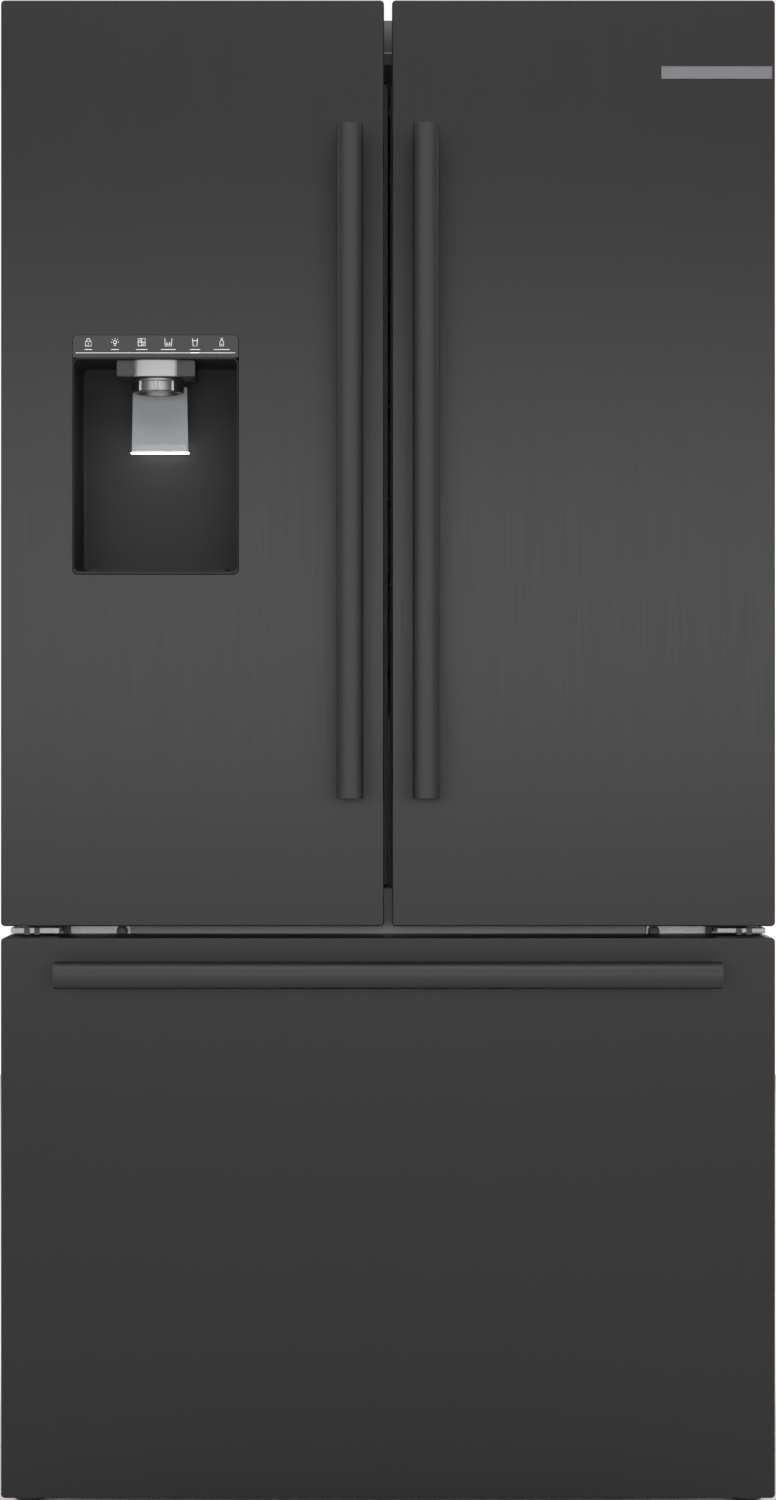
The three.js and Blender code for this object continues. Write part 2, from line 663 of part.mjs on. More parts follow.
/** Opening through the left door for the niche and, above it, a shallower one for the panel. */
function dispenserCut() {
  const width = grown(dispenserSpan(), FIT);
  const niche = block(width, [-SHEET, face], [dispenserBottom - FIT, nicheTop]);
  const panel = block(width, [-SHEET, PANEL.depth + FIT], [nicheTop - SHEET, dispenserTop + FIT]);
  return join(niche, panel);
}

function doorSkin(side) {
  const outline = roundedRect(doorSpan(side), [doorBottom, HEIGHT], DOOR.corner);
  const outer = prismY(outline, [0, DOOR.thickness]);
  const hollow = block(
    grown(doorSpan(side), -SHEET), [SHEET, DOOR.thickness + SHEET], [doorBottom + SHEET, HEIGHT - SHEET]);
  const skin = cut(outer, hollow, hingeRecess(side), ...doorBores(side));
  return side < 0 ? cut(skin, dispenserCut()) : skin;
}

/** Inner door panel, foamed to the skin, with a raised frame that carries the bins. */
function doorLiner(side) {
  const gap = SHEET + FIT;
  const core = block(
    grown(doorSpan(side), -gap), [gap, DOOR.thickness], [doorBottom + gap, HEIGHT - gap]);
  const dyke = dykeSpan(side);
  const depths = [DOOR.thickness - SHEET, DOOR.thickness + DYKE.rise];
  const frame = cut(
    block(dyke, depths, [dykeBottom, dykeTop]),
    block(grown(dyke, -DYKE.wall), grown(depths, SHEET), grown([dykeBottom, dykeTop], -DYKE.wall)));
  const liner = cut(join(core, frame), hingeRecess(side), ...doorBores(side));
  return side < 0 ? cut(liner, dispenserCut()) : liner;
}

function dykeSpan(side) {
  const free = freeEdge + (side < 0 ? DYKE.leftFree : DYKE.rightFree);
  return sided(side, free, openingHalf - DYKE.side);
}

/** A ring with a rectangular section, pressed between a door and the cabinet's front. */
function sealRing(width, heights) {
  const depths = [DOOR.thickness + FIT, face - FIT];
  const outer = block(width, depths, heights);
  return cut(outer, block(grown(width, -GASKET.width), grown(depths, FIT), grown(heights, -GASKET.width)));
}

function doorGasket(side) {
  const width = sided(side, freeEdge + GASKET.freeInset, hingeX - GASKET.hingeInset);
  return sealRing(width, [fridgeFloor - GASKET.railLap, fridgeTop + GASKET.topLap + GASKET.width]);
}

/** Section of a handle's bar across its length: flat behind, crowned in front. */
function barOutline(middle) {
  const half = HANDLE.width / 2;
  const shape = new THREE.Shape();
  const rear = HANDLE.depth - HANDLE_PROJECTION;
  shape.moveTo(middle + half, rear);
  shape.lineTo(middle - half, rear);
  shape.absellipse(middle, HANDLE.crown - HANDLE_PROJECTION, half, HANDLE.crown, Math.PI, 2 * Math.PI);
  return shape;
}

function doorHandle(side) {
  const middle = side * (freeEdge + DOOR_HANDLE.fromGap);
  const heights = [doorBottom + DOOR_HANDLE.lift, HEIGHT - DOOR_HANDLE.drop];
  const bar = prismZ(barOutline(middle), heights, CROWN_STEPS);
  const width = grown([middle, middle], HANDLE.width / 2 - HANDLE.postInset);
  const depths = [HANDLE.depth - HANDLE_PROJECTION - HANDLE.postTrim, -FIT];
  const [low, high] = grown(heights, -HANDLE.postInset);
  return join(
    bar, block(width, depths, [low, low + HANDLE.post]), block(width, depths, [high - HANDLE.post, high]));
}

function drawerHandle() {
  const middle = DRAWER_FRONT.top - DRAWER_HANDLE.drop;
  const half = halfWidth - DRAWER_HANDLE.endMargin;
  const upright = new THREE.ExtrudeGeometry(
    barOutline(0), { depth: 2 * half, bevelEnabled: false, curveSegments: CROWN_STEPS });
  upright.translate(0, 0, -half).rotateY(Math.PI / 2).translate(0, 0, middle);
  const heights = grown([middle, middle], HANDLE.width / 2 - HANDLE.postInset);
  const depths = [HANDLE.depth - HANDLE_PROJECTION - HANDLE.postTrim, -FIT];
  const posts = [-1, 1].map((side) => block(
    sided(side, half - HANDLE.postInset - HANDLE.post, half - HANDLE.postInset), depths, heights));
  return join(solid(upright), ...posts);
}

// ---- Dispenser ---------------------------------------------------------------------------

function dispenserHousing() {
  const depths = [-NICHE.lip, nicheBack + NICHE.wall];
  const heights = [dispenserBottom, nicheTop - FIT];
  const outer = prismY(roundedRect(dispenserSpan(), heights, DISPENSER.corner), depths);
  const hollow = block(
    grown(dispenserSpan(), -NICHE.side), [-2 * NICHE.lip, nicheBack],
    [dispenserBottom + NICHE.floor, nicheCeiling]);
  return cut(outer, hollow);
}

function dispenserPanel() {
  const [left, right] = dispenserSpan();
  const radius = DISPENSER.corner;
  const shape = new THREE.Shape();
  shape.moveTo(left, nicheTop);
  shape.lineTo(right, nicheTop);
  shape.absarc(right - radius, dispenserTop - radius, radius, 0, Math.PI / 2);
  shape.absarc(left + radius, dispenserTop - radius, radius, Math.PI / 2, Math.PI);
  return prismY(shape, [-PANEL.proud, PANEL.depth]);
}

/** Outlet block under the niche's ceiling, with the water and ice ring below it. */
function dispenserNozzle() {
  const top = nicheCeiling - FIT;
  const bottom = top - NOZZLE.height;
  const width = grown([nicheMiddle, nicheMiddle], NOZZLE.half);
  const rear = nicheBack - NOZZLE.fromBack;
  const middle = rear - NOZZLE.length / 2;
  const body = block(width, [rear - NOZZLE.length, rear], [bottom, top]);
  const ring = rod('z', [bottom - NOZZLE.drop, bottom + SHEET], NOZZLE.radius, [nicheMiddle, middle]);
  const bore = rod('z', [bottom - 2 * NOZZLE.drop, top - SHEET], NOZZLE.bore, [nicheMiddle, middle]);
  return cut(join(body, ring), bore);
}

function paddleAxis() {
  return { y: nicheBack - PADDLE.fromBack, z: nicheCeiling - PADDLE.drop };
}

function dispenserPaddle() {
  const { y, z } = paddleAxis();
  const foot = z - PADDLE.length;
  const outline = polygon([
    [nicheMiddle - PADDLE.footHalf, foot],
    [nicheMiddle + PADDLE.footHalf, foot],
    [nicheMiddle + PADDLE.topHalf, z],
    [nicheMiddle - PADDLE.topHalf, z],
  ]);
  const blade = prismY(outline, grown([y, y], PADDLE.thickness / 2));
  const barrel = rod('x', grown([nicheMiddle, nicheMiddle], PADDLE.topHalf), PADDLE.barrel, [y, z]);
  return join(blade, barrel);
}

function dripTray() {
  const [left, right] = grown(dispenserSpan(), -NICHE.side - DRIP_TRAY.side);
  const floor = dispenserBottom + NICHE.floor + FIT;
  const top = floor + DRIP_TRAY.height;
  const depths = [DRIP_TRAY.front, nicheBack - DRIP_TRAY.front];
  const plate = block([left, right], depths, [floor, top]);
  const pitch = (depths[1] - depths[0]) / DRIP_TRAY.slots;
  const slots = [];
  for (let i = 0; i < DRIP_TRAY.slots; i += 1) {
    const y = depths[0] + (i + 0.5) * pitch;
    const span = [y - DRIP_TRAY.slotWidth / 2, y + DRIP_TRAY.slotWidth / 2];
    slots.push(block([left + NICHE.side, right - NICHE.side], span, [top - DRIP_TRAY.slotDepth, top + FIT]));
  }
  return cut(plate, ...slots);
}

/** Insulated ice maker case inside the left door, open below at its chute. */
function iceMakerBox() {
  const [outerX, innerX] = grown(dykeSpan(-1), -DYKE.wall - FIT);
  const width = [outerX, outerX + ICE_BOX.share * (innerX - outerX)];
  const depths = [face + FIT, face + ICE_BOX.depth];
  const heights = [fridgeTop - DYKE.end - DYKE.wall - ICE_BOX.bottom, fridgeTop - DYKE.end - ICE_BOX.top];
  const middle = (width[0] + width[1]) / 2;
  const room = block(...[width, depths, heights].map((span) => grown(span, -ICE_BOX.wall)));
  const chute = block(
    grown([middle, middle], ICE_BOX.chute / 2), grown(depths, -4 * ICE_BOX.wall),
    [heights[0] - ICE_BOX.wall, heights[0] + 2 * ICE_BOX.wall]);
  return cut(block(width, depths, heights), room, chute);
}

// ---- Door bins and small parts -----------------------------------------------------------

/** Door bin, open on top, with a raised rim on the side away from the door. */
function doorBin(side, floor) {
  const width = grown(dykeSpan(side), -DYKE.wall - FIT);
  const depths = [DOOR.thickness + FIT, DOOR.thickness + BIN.depth];
  const top = floor + BIN.height;
  const outer = block(width, depths, [floor, top - BIN.lipRise]);
  const rim = block(width, [depths[1] - BIN.lip, depths[1]], [floor, top]);
  const inside = block(
    grown(width, -LINER_WALL), grown(depths, -LINER_WALL), [floor + LINER_WALL, top + FIT]);
  return cut(join(outer, rim), inside);
}

function rightBinFloor(index) {
  const low = dykeBottom + DYKE.wall;
  const pitch = (dykeTop - DYKE.wall - low) / RIGHT_BIN_COUNT;
  return low + index * pitch + FIT;
}

function namePlate() {
  const right = halfWidth - PLATE.side;
  const top = HEIGHT - PLATE.drop;
  return block([right - PLATE.width, right], [-FIT - PLATE.thickness, -FIT], [top - PLATE.height, top]);
}

// ---- Mullion between the doors -----------------------------------------------------------

/** Upright seal bar on the left door, round at its hinge end, folding back as the door opens. */
function mullion() {
  const { half } = MULLION;
  const middle = face + FIT + half;
  const shape = new THREE.Shape();
  shape.absarc(MULLION.pivot, middle, half, Math.PI / 2, 1.5 * Math.PI);
  shape.lineTo(MULLION.tip, middle - half);
  shape.lineTo(MULLION.tip, middle + half - MULLION.chamfer);
  shape.lineTo(MULLION.tip - MULLION.chamfer, middle + half);
  return prismZ(shape, [fridgeFloor + MULLION.end, fridgeTop - MULLION.end]);
}

// ---- Freezer drawer ----------------------------------------------------------------------

function drawerSkin() {
  const outline = roundedRect(both(halfWidth), [DRAWER_FRONT.bottom, DRAWER_FRONT.top], DOOR.corner);
  const outer = prismY(outline, [0, DOOR.thickness]);
  const heights = [DRAWER_FRONT.bottom + SHEET, DRAWER_FRONT.top - SHEET];
  return cut(outer, block(both(halfWidth - SHEET), [SHEET, DOOR.thickness + SHEET], heights));
}

function drawerLiner() {
  const gap = SHEET + FIT;
  const heights = [DRAWER_FRONT.bottom + gap, DRAWER_FRONT.top - gap];
  return block(both(halfWidth - gap), [gap, DOOR.thickness], heights);
}

function drawerGasket() {
  const half = openingHalf + GASKET.width + LINER_WALL;
  const bottom = CABINET.sill - GASKET.width - GASKET.sillLap;
  return sealRing(both(half), [bottom, railBottom + GASKET.width + LINER_WALL]);
}

/** Fixed slide on the freezer wall: a channel for the drawer and a ledge for the upper tray. */
function outerRail(side) {
  const wall = openingHalf - FIT;
  const web = wall - SLIDE.web;
  const depths = [slideFront, linerBack - SLIDE.backGap];
  const upright = block(sided(side, web, wall), depths, [slideBottom, ledgeTop]);
  const lip = (z) => block(sided(side, wall - SLIDE.reach, wall), depths, [z, z + SLIDE.lip]);
  const ledge = block(
    sided(side, wall - SLIDE.ledgeReach, wall), depths, [ledgeTop - 2 * SLIDE.lip, ledgeTop]);
  return join(upright, lip(slideBottom), lip(slideTop - SLIDE.lip), ledge);
}

/** The drawer's two moving slides and the tie bar that keeps them level. */
function drawerCarrier() {
  const heights = [slideBottom + SLIDE.lip + SLIDE_FIT, slideTop - SLIDE.lip - SLIDE_FIT];
  const near = openingHalf - CARRIER.inner;
  const depths = [DOOR.thickness + FIT, linerBack - CARRIER.backGap];
  const slides = [-1, 1].map((side) => block(sided(side, near, near + CARRIER.thickness), depths, heights));
  const bar = block(both(near + FIT), [depths[1] - CARRIER.bar, depths[1]], grown(heights, -CARRIER.bar / 2));
  return join(...slides, bar);
}

function freezerBasket() {
  const half = openingHalf - BASKET.side;
  const seat = slideTop - SLIDE.lip - SLIDE_FIT + FIT;
  const top = seat + BASKET.rimThick;
  const floor = CABINET.sill + BASKET.aboveSill;
  const depths = [face + BASKET.behindFace, stepBack - SLIDE_FIT * 3];
  const outer = block(both(half), depths, [floor, top]);
  const rim = block(both(half + BASKET.rim), depths, [seat, top]);
  const inside = block(both(half - LINER_WALL), grown(depths, -LINER_WALL), [floor + LINER_WALL, top + FIT]);
  return cut(join(outer, rim), inside);
}

function freezerTray() {
  const half = openingHalf - BASKET.side;
  const floor = slideTop + TRAY.lift;
  const depths = [slideFront, linerBack - SLIDE.backGap];
  const outer = block(both(half), depths, [floor, trayTop]);
  const rim = block(
    both(openingHalf - LINER_WALL), depths, [ledgeTop + FIT, ledgeTop + FIT + TRAY.rimThick]);
  const inside = block(
    both(half - LINER_WALL), grown(depths, -LINER_WALL), [floor + LINER_WALL, trayTop + FIT]);
  return cut(join(outer, rim), inside);
}

// ---- Assembly ----------------------------------------------------------------------------

function group(...members) {
  const result = new THREE.Group();
  result.add(...members);
  return result;
}

function at(node, x, y, z) {
  node.position.set(x, y, z);
  return node;
}

function cabinetShell() {
  return group(
    piece('cabinet_wrapper', cabinetWrapper(), FINISH.cabinetPaint),
    piece('back_panel', backPanel(), FINISH.zincSteel),
    piece('cabinet_foam', cabinetFoam(), FINISH.foam),
    piece('fridge_liner', fridgeLiner(), FINISH.liner),
    piece('freezer_liner', freezerLiner(), FINISH.liner),
    piece('center_rail', centerRail(), FINISH.cabinetPaint),
    piece('top_trim', topTrim(), FINISH.greyPlastic),
    piece('left_top_hinge', topHinge(-1), FINISH.zincSteel),
    piece('right_top_hinge', topHinge(1), FINISH.zincSteel),
    piece('left_hinge_cover', hingeCover(-1), FINISH.greyPlastic),
    piece('right_hinge_cover', hingeCover(1), FINISH.greyPlastic),
    piece('left_center_hinge', centerHinge(-1), FINISH.zincSteel),
    piece('right_center_hinge', centerHinge(1), FINISH.zincSteel),
  );
}

function baseAndMachine() {
  const machineY = back - COMPRESSOR.fromBack;
  const rollerY = back - ROLLER.fromBack;
  const footX = halfWidth - FOOT.fromSide;
  const [leftWheel, rightWheel] = [rearRoller(-1), rearRoller(1)];
  return group(
    piece('base_frame', baseFrame(), FINISH.zincSteel),
    piece('toe_grille', toeGrille(), FINISH.blackPlastic),
    at(piece('left_foot', levellingFoot(), FINISH.blackPlastic), -footX, footDepth, 0),
    at(piece('right_foot', levellingFoot(), FINISH.blackPlastic), footX, footDepth, 0),
    at(piece('left_rear_roller', leftWheel, FINISH.blackPlastic), rollerMiddle(-1), rollerY, ROLLER.radius),
    at(piece('right_rear_roller', rightWheel, FINISH.blackPlastic), rollerMiddle(1), rollerY, ROLLER.radius),
    at(piece('compressor', compressor(), FINISH.darkSteel), COMPRESSOR.x, machineY, CABINET.baseTop + FIT),
    at(piece('condenser_fan', condenserFan(), FINISH.blackPlastic), FAN.x, machineY, FAN.height),
    piece('machine_cover', machineCover(), FINISH.zincSteel),
  );
}

function fridgeInterior() {
  const spacing = (fridgeTop - coverTop) / 3;
  const [middle, upper] = [coverTop + spacing, coverTop + 2 * spacing];
  return group(
    piece('air_duct', airDuct(), FINISH.liner),
    piece('shelf_upper_left', halfShelf(-1, upper), FINISH.shelfGlass),
    piece('shelf_upper_right', halfShelf(1, upper), FINISH.shelfGlass),
    piece('shelf_middle_left', halfShelf(-1, middle), FINISH.shelfGlass),
    piece('shelf_middle_right', halfShelf(1, middle), FINISH.shelfGlass),
    piece('crisper_cover', crisperCover(), FINISH.shelfGlass),
    piece('left_crisper', crisper(-1), FINISH.clearPlastic),
    piece('right_crisper', crisper(1), FINISH.clearPlastic),
    piece('ceiling_light', ceilingLight(), FINISH.light),
  );
}

function leftDoor() {
  return group(
    piece('left_door_skin', doorSkin(-1), FINISH.blackStainless),
    piece('left_door_liner', doorLiner(-1), FINISH.liner),
    piece('left_gasket', doorGasket(-1), FINISH.gasket),
    piece('left_handle', doorHandle(-1), FINISH.blackStainless),
    piece('dispenser_housing', dispenserHousing(), FINISH.blackPlastic),
    piece('dispenser_panel', dispenserPanel(), FINISH.greyPlastic),
    piece('dispenser_nozzle', dispenserNozzle(), FINISH.greyPlastic),
    piece('dispenser_paddle', dispenserPaddle(), FINISH.clearPlastic),
    piece('drip_tray', dripTray(), FINISH.blackPlastic),
    piece('ice_maker_box', iceMakerBox(), FINISH.liner),
    piece('left_door_bin', doorBin(-1, dykeBottom + DYKE.wall + LEFT_BIN_LIFT), FINISH.clearPlastic),
    piece('mullion', mullion(), FINISH.blackPlastic),
  );
}

function rightDoor() {
  return group(
    piece('right_door_skin', doorSkin(1), FINISH.blackStainless),
    piece('right_door_liner', doorLiner(1), FINISH.liner),
    piece('right_gasket', doorGasket(1), FINISH.gasket),
    piece('right_handle', doorHandle(1), FINISH.blackStainless),
    piece('right_lower_bin', doorBin(1, rightBinFloor(0)), FINISH.clearPlastic),
    piece('right_middle_bin', doorBin(1, rightBinFloor(1)), FINISH.clearPlastic),
    piece('right_upper_bin', doorBin(1, rightBinFloor(2)), FINISH.clearPlastic),
    piece('name_plate', namePlate(), FINISH.plate),
  );
}

function freezer() {
  return group(
    piece('left_outer_rail', outerRail(-1), FINISH.zincSteel),
    piece('right_outer_rail', outerRail(1), FINISH.zincSteel),
    piece('drawer_skin', drawerSkin(), FINISH.blackStainless),
    piece('drawer_liner', drawerLiner(), FINISH.liner),
    piece('drawer_gasket', drawerGasket(), FINISH.gasket),
    piece('drawer_handle', drawerHandle(), FINISH.blackStainless),
    piece('drawer_carrier', drawerCarrier(), FINISH.zincSteel),
    piece('freezer_basket', freezerBasket(), FINISH.clearPlastic),
    piece('freezer_tray', freezerTray(), FINISH.clearPlastic),
  );
}

const refrigerator = group(
  cabinetShell(),
  baseAndMachine(),
  fridgeInterior(),
  leftDoor(),
  rightDoor(),
  freezer(),
);
refrigerator.position.y = -(BODY_DEPTH - HANDLE_PROJECTION) / 2;

export default group(refrigerator);
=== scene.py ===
"""Visual model of a french door refrigerator with an ice and water dispenser in its left door.

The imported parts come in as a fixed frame. The shells, handles, seals, bins and dispenser are built
here as finished meshes that ride on the same bodies, and the other parts get their edges and finishes.
"""

from __future__ import annotations

import json
import logging
import math
from collections.abc import Callable, Iterable, Sequence
from dataclasses import dataclass
from enum import Enum

import bmesh
import bpy
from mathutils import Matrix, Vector

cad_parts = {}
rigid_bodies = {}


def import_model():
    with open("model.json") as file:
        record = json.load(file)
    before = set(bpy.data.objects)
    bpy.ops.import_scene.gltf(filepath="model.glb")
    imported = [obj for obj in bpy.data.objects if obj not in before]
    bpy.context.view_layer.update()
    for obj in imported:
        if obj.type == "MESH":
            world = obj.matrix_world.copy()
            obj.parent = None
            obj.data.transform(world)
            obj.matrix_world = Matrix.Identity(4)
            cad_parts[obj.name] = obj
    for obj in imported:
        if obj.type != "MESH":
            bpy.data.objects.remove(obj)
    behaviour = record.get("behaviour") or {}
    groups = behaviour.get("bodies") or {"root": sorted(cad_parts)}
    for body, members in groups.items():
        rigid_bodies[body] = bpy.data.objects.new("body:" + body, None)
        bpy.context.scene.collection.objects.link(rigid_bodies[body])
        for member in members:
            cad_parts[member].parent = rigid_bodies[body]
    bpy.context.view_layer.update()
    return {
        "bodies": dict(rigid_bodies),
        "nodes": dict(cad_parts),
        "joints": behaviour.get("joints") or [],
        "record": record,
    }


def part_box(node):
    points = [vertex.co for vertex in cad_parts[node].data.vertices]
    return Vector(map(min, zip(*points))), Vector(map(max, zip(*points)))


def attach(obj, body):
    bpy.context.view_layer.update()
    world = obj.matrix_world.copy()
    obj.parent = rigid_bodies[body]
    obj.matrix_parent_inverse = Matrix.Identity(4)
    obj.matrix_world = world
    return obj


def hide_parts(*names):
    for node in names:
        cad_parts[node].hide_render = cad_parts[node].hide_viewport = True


LOG = logging.getLogger("refrigerator")
MM = 0.001
TINY = 0.2 * MM  # the smallest corner radius, so that no two points of an outline meet

Span = tuple[float, float]
Outline = list[tuple[float, float]]
Colour = tuple[float, float, float, float]


# ---- Materials ---------------------------------------------------------------------------


def linear(code: str, alpha: float = 1.0) -> Colour:
    """Turns an sRGB hex colour into linear values.

    Args:
        code: The colour as "#rrggbb".
        alpha: The fourth value.

    Returns:
        Red, green, blue and alpha.
    """
    channels = [int(code[start : start + 2], 16) / 255 for start in (1, 3, 5)]
    red, green, blue = (c / 12.92 if c <= 0.04045 else ((c + 0.055) / 1.055) ** 2.4 for c in channels)
    return (red, green, blue, alpha)


def add_node(
    tree: bpy.types.NodeTree, kind: str, settings: dict | None = None, links: dict | None = None
) -> bpy.types.Node:
    """Adds a node with its settings and links.

    Args:
        tree: The node tree that it goes into.
        kind: The name of the node's type.
        settings: Values by socket name, socket number or attribute name.
        links: Output sockets by the input that each one feeds.

    Returns:
        The new node.
    """
    node = tree.nodes.new(kind)
    for key, value in (settings or {}).items():
        if isinstance(key, int) or key in node.inputs:
            node.inputs[key].default_value = value
        else:
            setattr(node, key, value)
    for key, source in (links or {}).items():
        tree.links.new(source, node.inputs[key])
    return node


@dataclass(frozen=True)
class Finish:
    """A surface: its name, base values and a fine relief with some variation in gloss and tone."""

    name: str
    colour: str
    roughness: float
    metallic: float = 0.0
    grain: tuple[float, float, float] = (1.2, 1.2, 1.2)  # grain size in millimetres along X, Y and Z
    relief: float = 0.02  # height of the grain in millimetres
    gloss_spread: float = 0.05
    tone_spread: float = 0.06
    anisotropic: float = 0.0
    ior: float = 1.5
    alpha: float = 1.0
    coat: float = 0.0
    glow: float = 0.0

    def build(self) -> bpy.types.Material:
        """Makes the material and its nodes.

        Returns:
            The material.
        """
        material = bpy.data.materials.new(self.name)
        material.use_nodes = True
        tree = material.node_tree
        shader = tree.nodes["Principled BSDF"]
        shader.inputs["Metallic"].default_value = self.metallic
        shader.inputs["IOR"].default_value = self.ior
        shader.inputs["Alpha"].default_value = self.alpha
        shader.inputs["Anisotropic"].default_value = self.anisotropic
        shader.inputs["Coat Weight"].default_value = self.coat
        if self.glow:
            shader.inputs["Emission Color"].default_value = linear(self.colour)
            shader.inputs["Emission Strength"].default_value = self.glow
        self.detail(tree, shader)
        return material

    def height(self, tree: bpy.types.NodeTree) -> bpy.types.NodeSocket:
        """Draws the grain as stretched noise.

        Args:
            tree: The material's node tree.

        Returns:
            The socket with the grain's height from 0 to 1.
        """
        place = add_node(tree, "ShaderNodeTexCoord")
        scale = tuple(1 / (size * MM) for size in self.grain)
        stretched = add_node(tree, "ShaderNodeMapping", {"Scale": scale}, {"Vector": place.outputs["Object"]})
        settings = {"Scale": 1.0, "Detail": 3.0, "Roughness": 0.55}
        noise = add_node(tree, "ShaderNodeTexNoise", settings, {"Vector": stretched.outputs["Vector"]})
        return noise.outputs["Fac"]

    def detail(self, tree: bpy.types.NodeTree, shader: bpy.types.Node) -> None:
        """Feeds the grain to the shader's tone, gloss and relief.

        Args:
            tree: The material's node tree.
            shader: Its principled shader.
        """
        grain = self.height(tree)
        dark, light = (
            tuple(min(1.0, c * (1 + sign * self.tone_spread)) for c in linear(self.colour)[:3]) + (1.0,)
            for sign in (-1, 1)
        )
        settings = {"data_type": "RGBA", 6: dark, 7: light}
        tone = add_node(tree, "ShaderNodeMix", settings, {0: grain})
        tree.links.new(tone.outputs[2], shader.inputs["Base Color"])
        low = max(0.02, self.roughness - self.gloss_spread)
        high = min(1.0, self.roughness + self.gloss_spread)
        limits = {"From Min": 0.3, "From Max": 0.7, "To Min": low, "To Max": high}
        gloss = add_node(tree, "ShaderNodeMapRange", limits, {"Value": grain})
        tree.links.new(gloss.outputs["Result"], shader.inputs["Roughness"])
        settings = {"Strength": 1.0, "Distance": self.relief * MM}
        bump = add_node(tree, "ShaderNodeBump", settings, {"Height": grain})
        tree.links.new(bump.outputs["Normal"], shader.inputs["Normal"])


@dataclass(frozen=True)
class Spangled(Finish):
    """Hot-dip zinc: flat crystals a few millimetres across, each with its own tone and gloss."""

    crystal: float = 7.0  # crystal size in millimetres

    def height(self, tree: bpy.types.NodeTree) -> bpy.types.NodeSocket:
        """Draws the crystals as cells.

        Args:
            tree: The material's node tree.

        Returns:
            The socket with one value for each crystal.
        """
        place = add_node(tree, "ShaderNodeTexCoord")
        settings = {"Scale": 1 / (self.crystal * MM)}
        cells = add_node(tree, "ShaderNodeTexVoronoi", settings, {"Vector": place.outputs["Object"]})
        return cells.outputs["Color"]


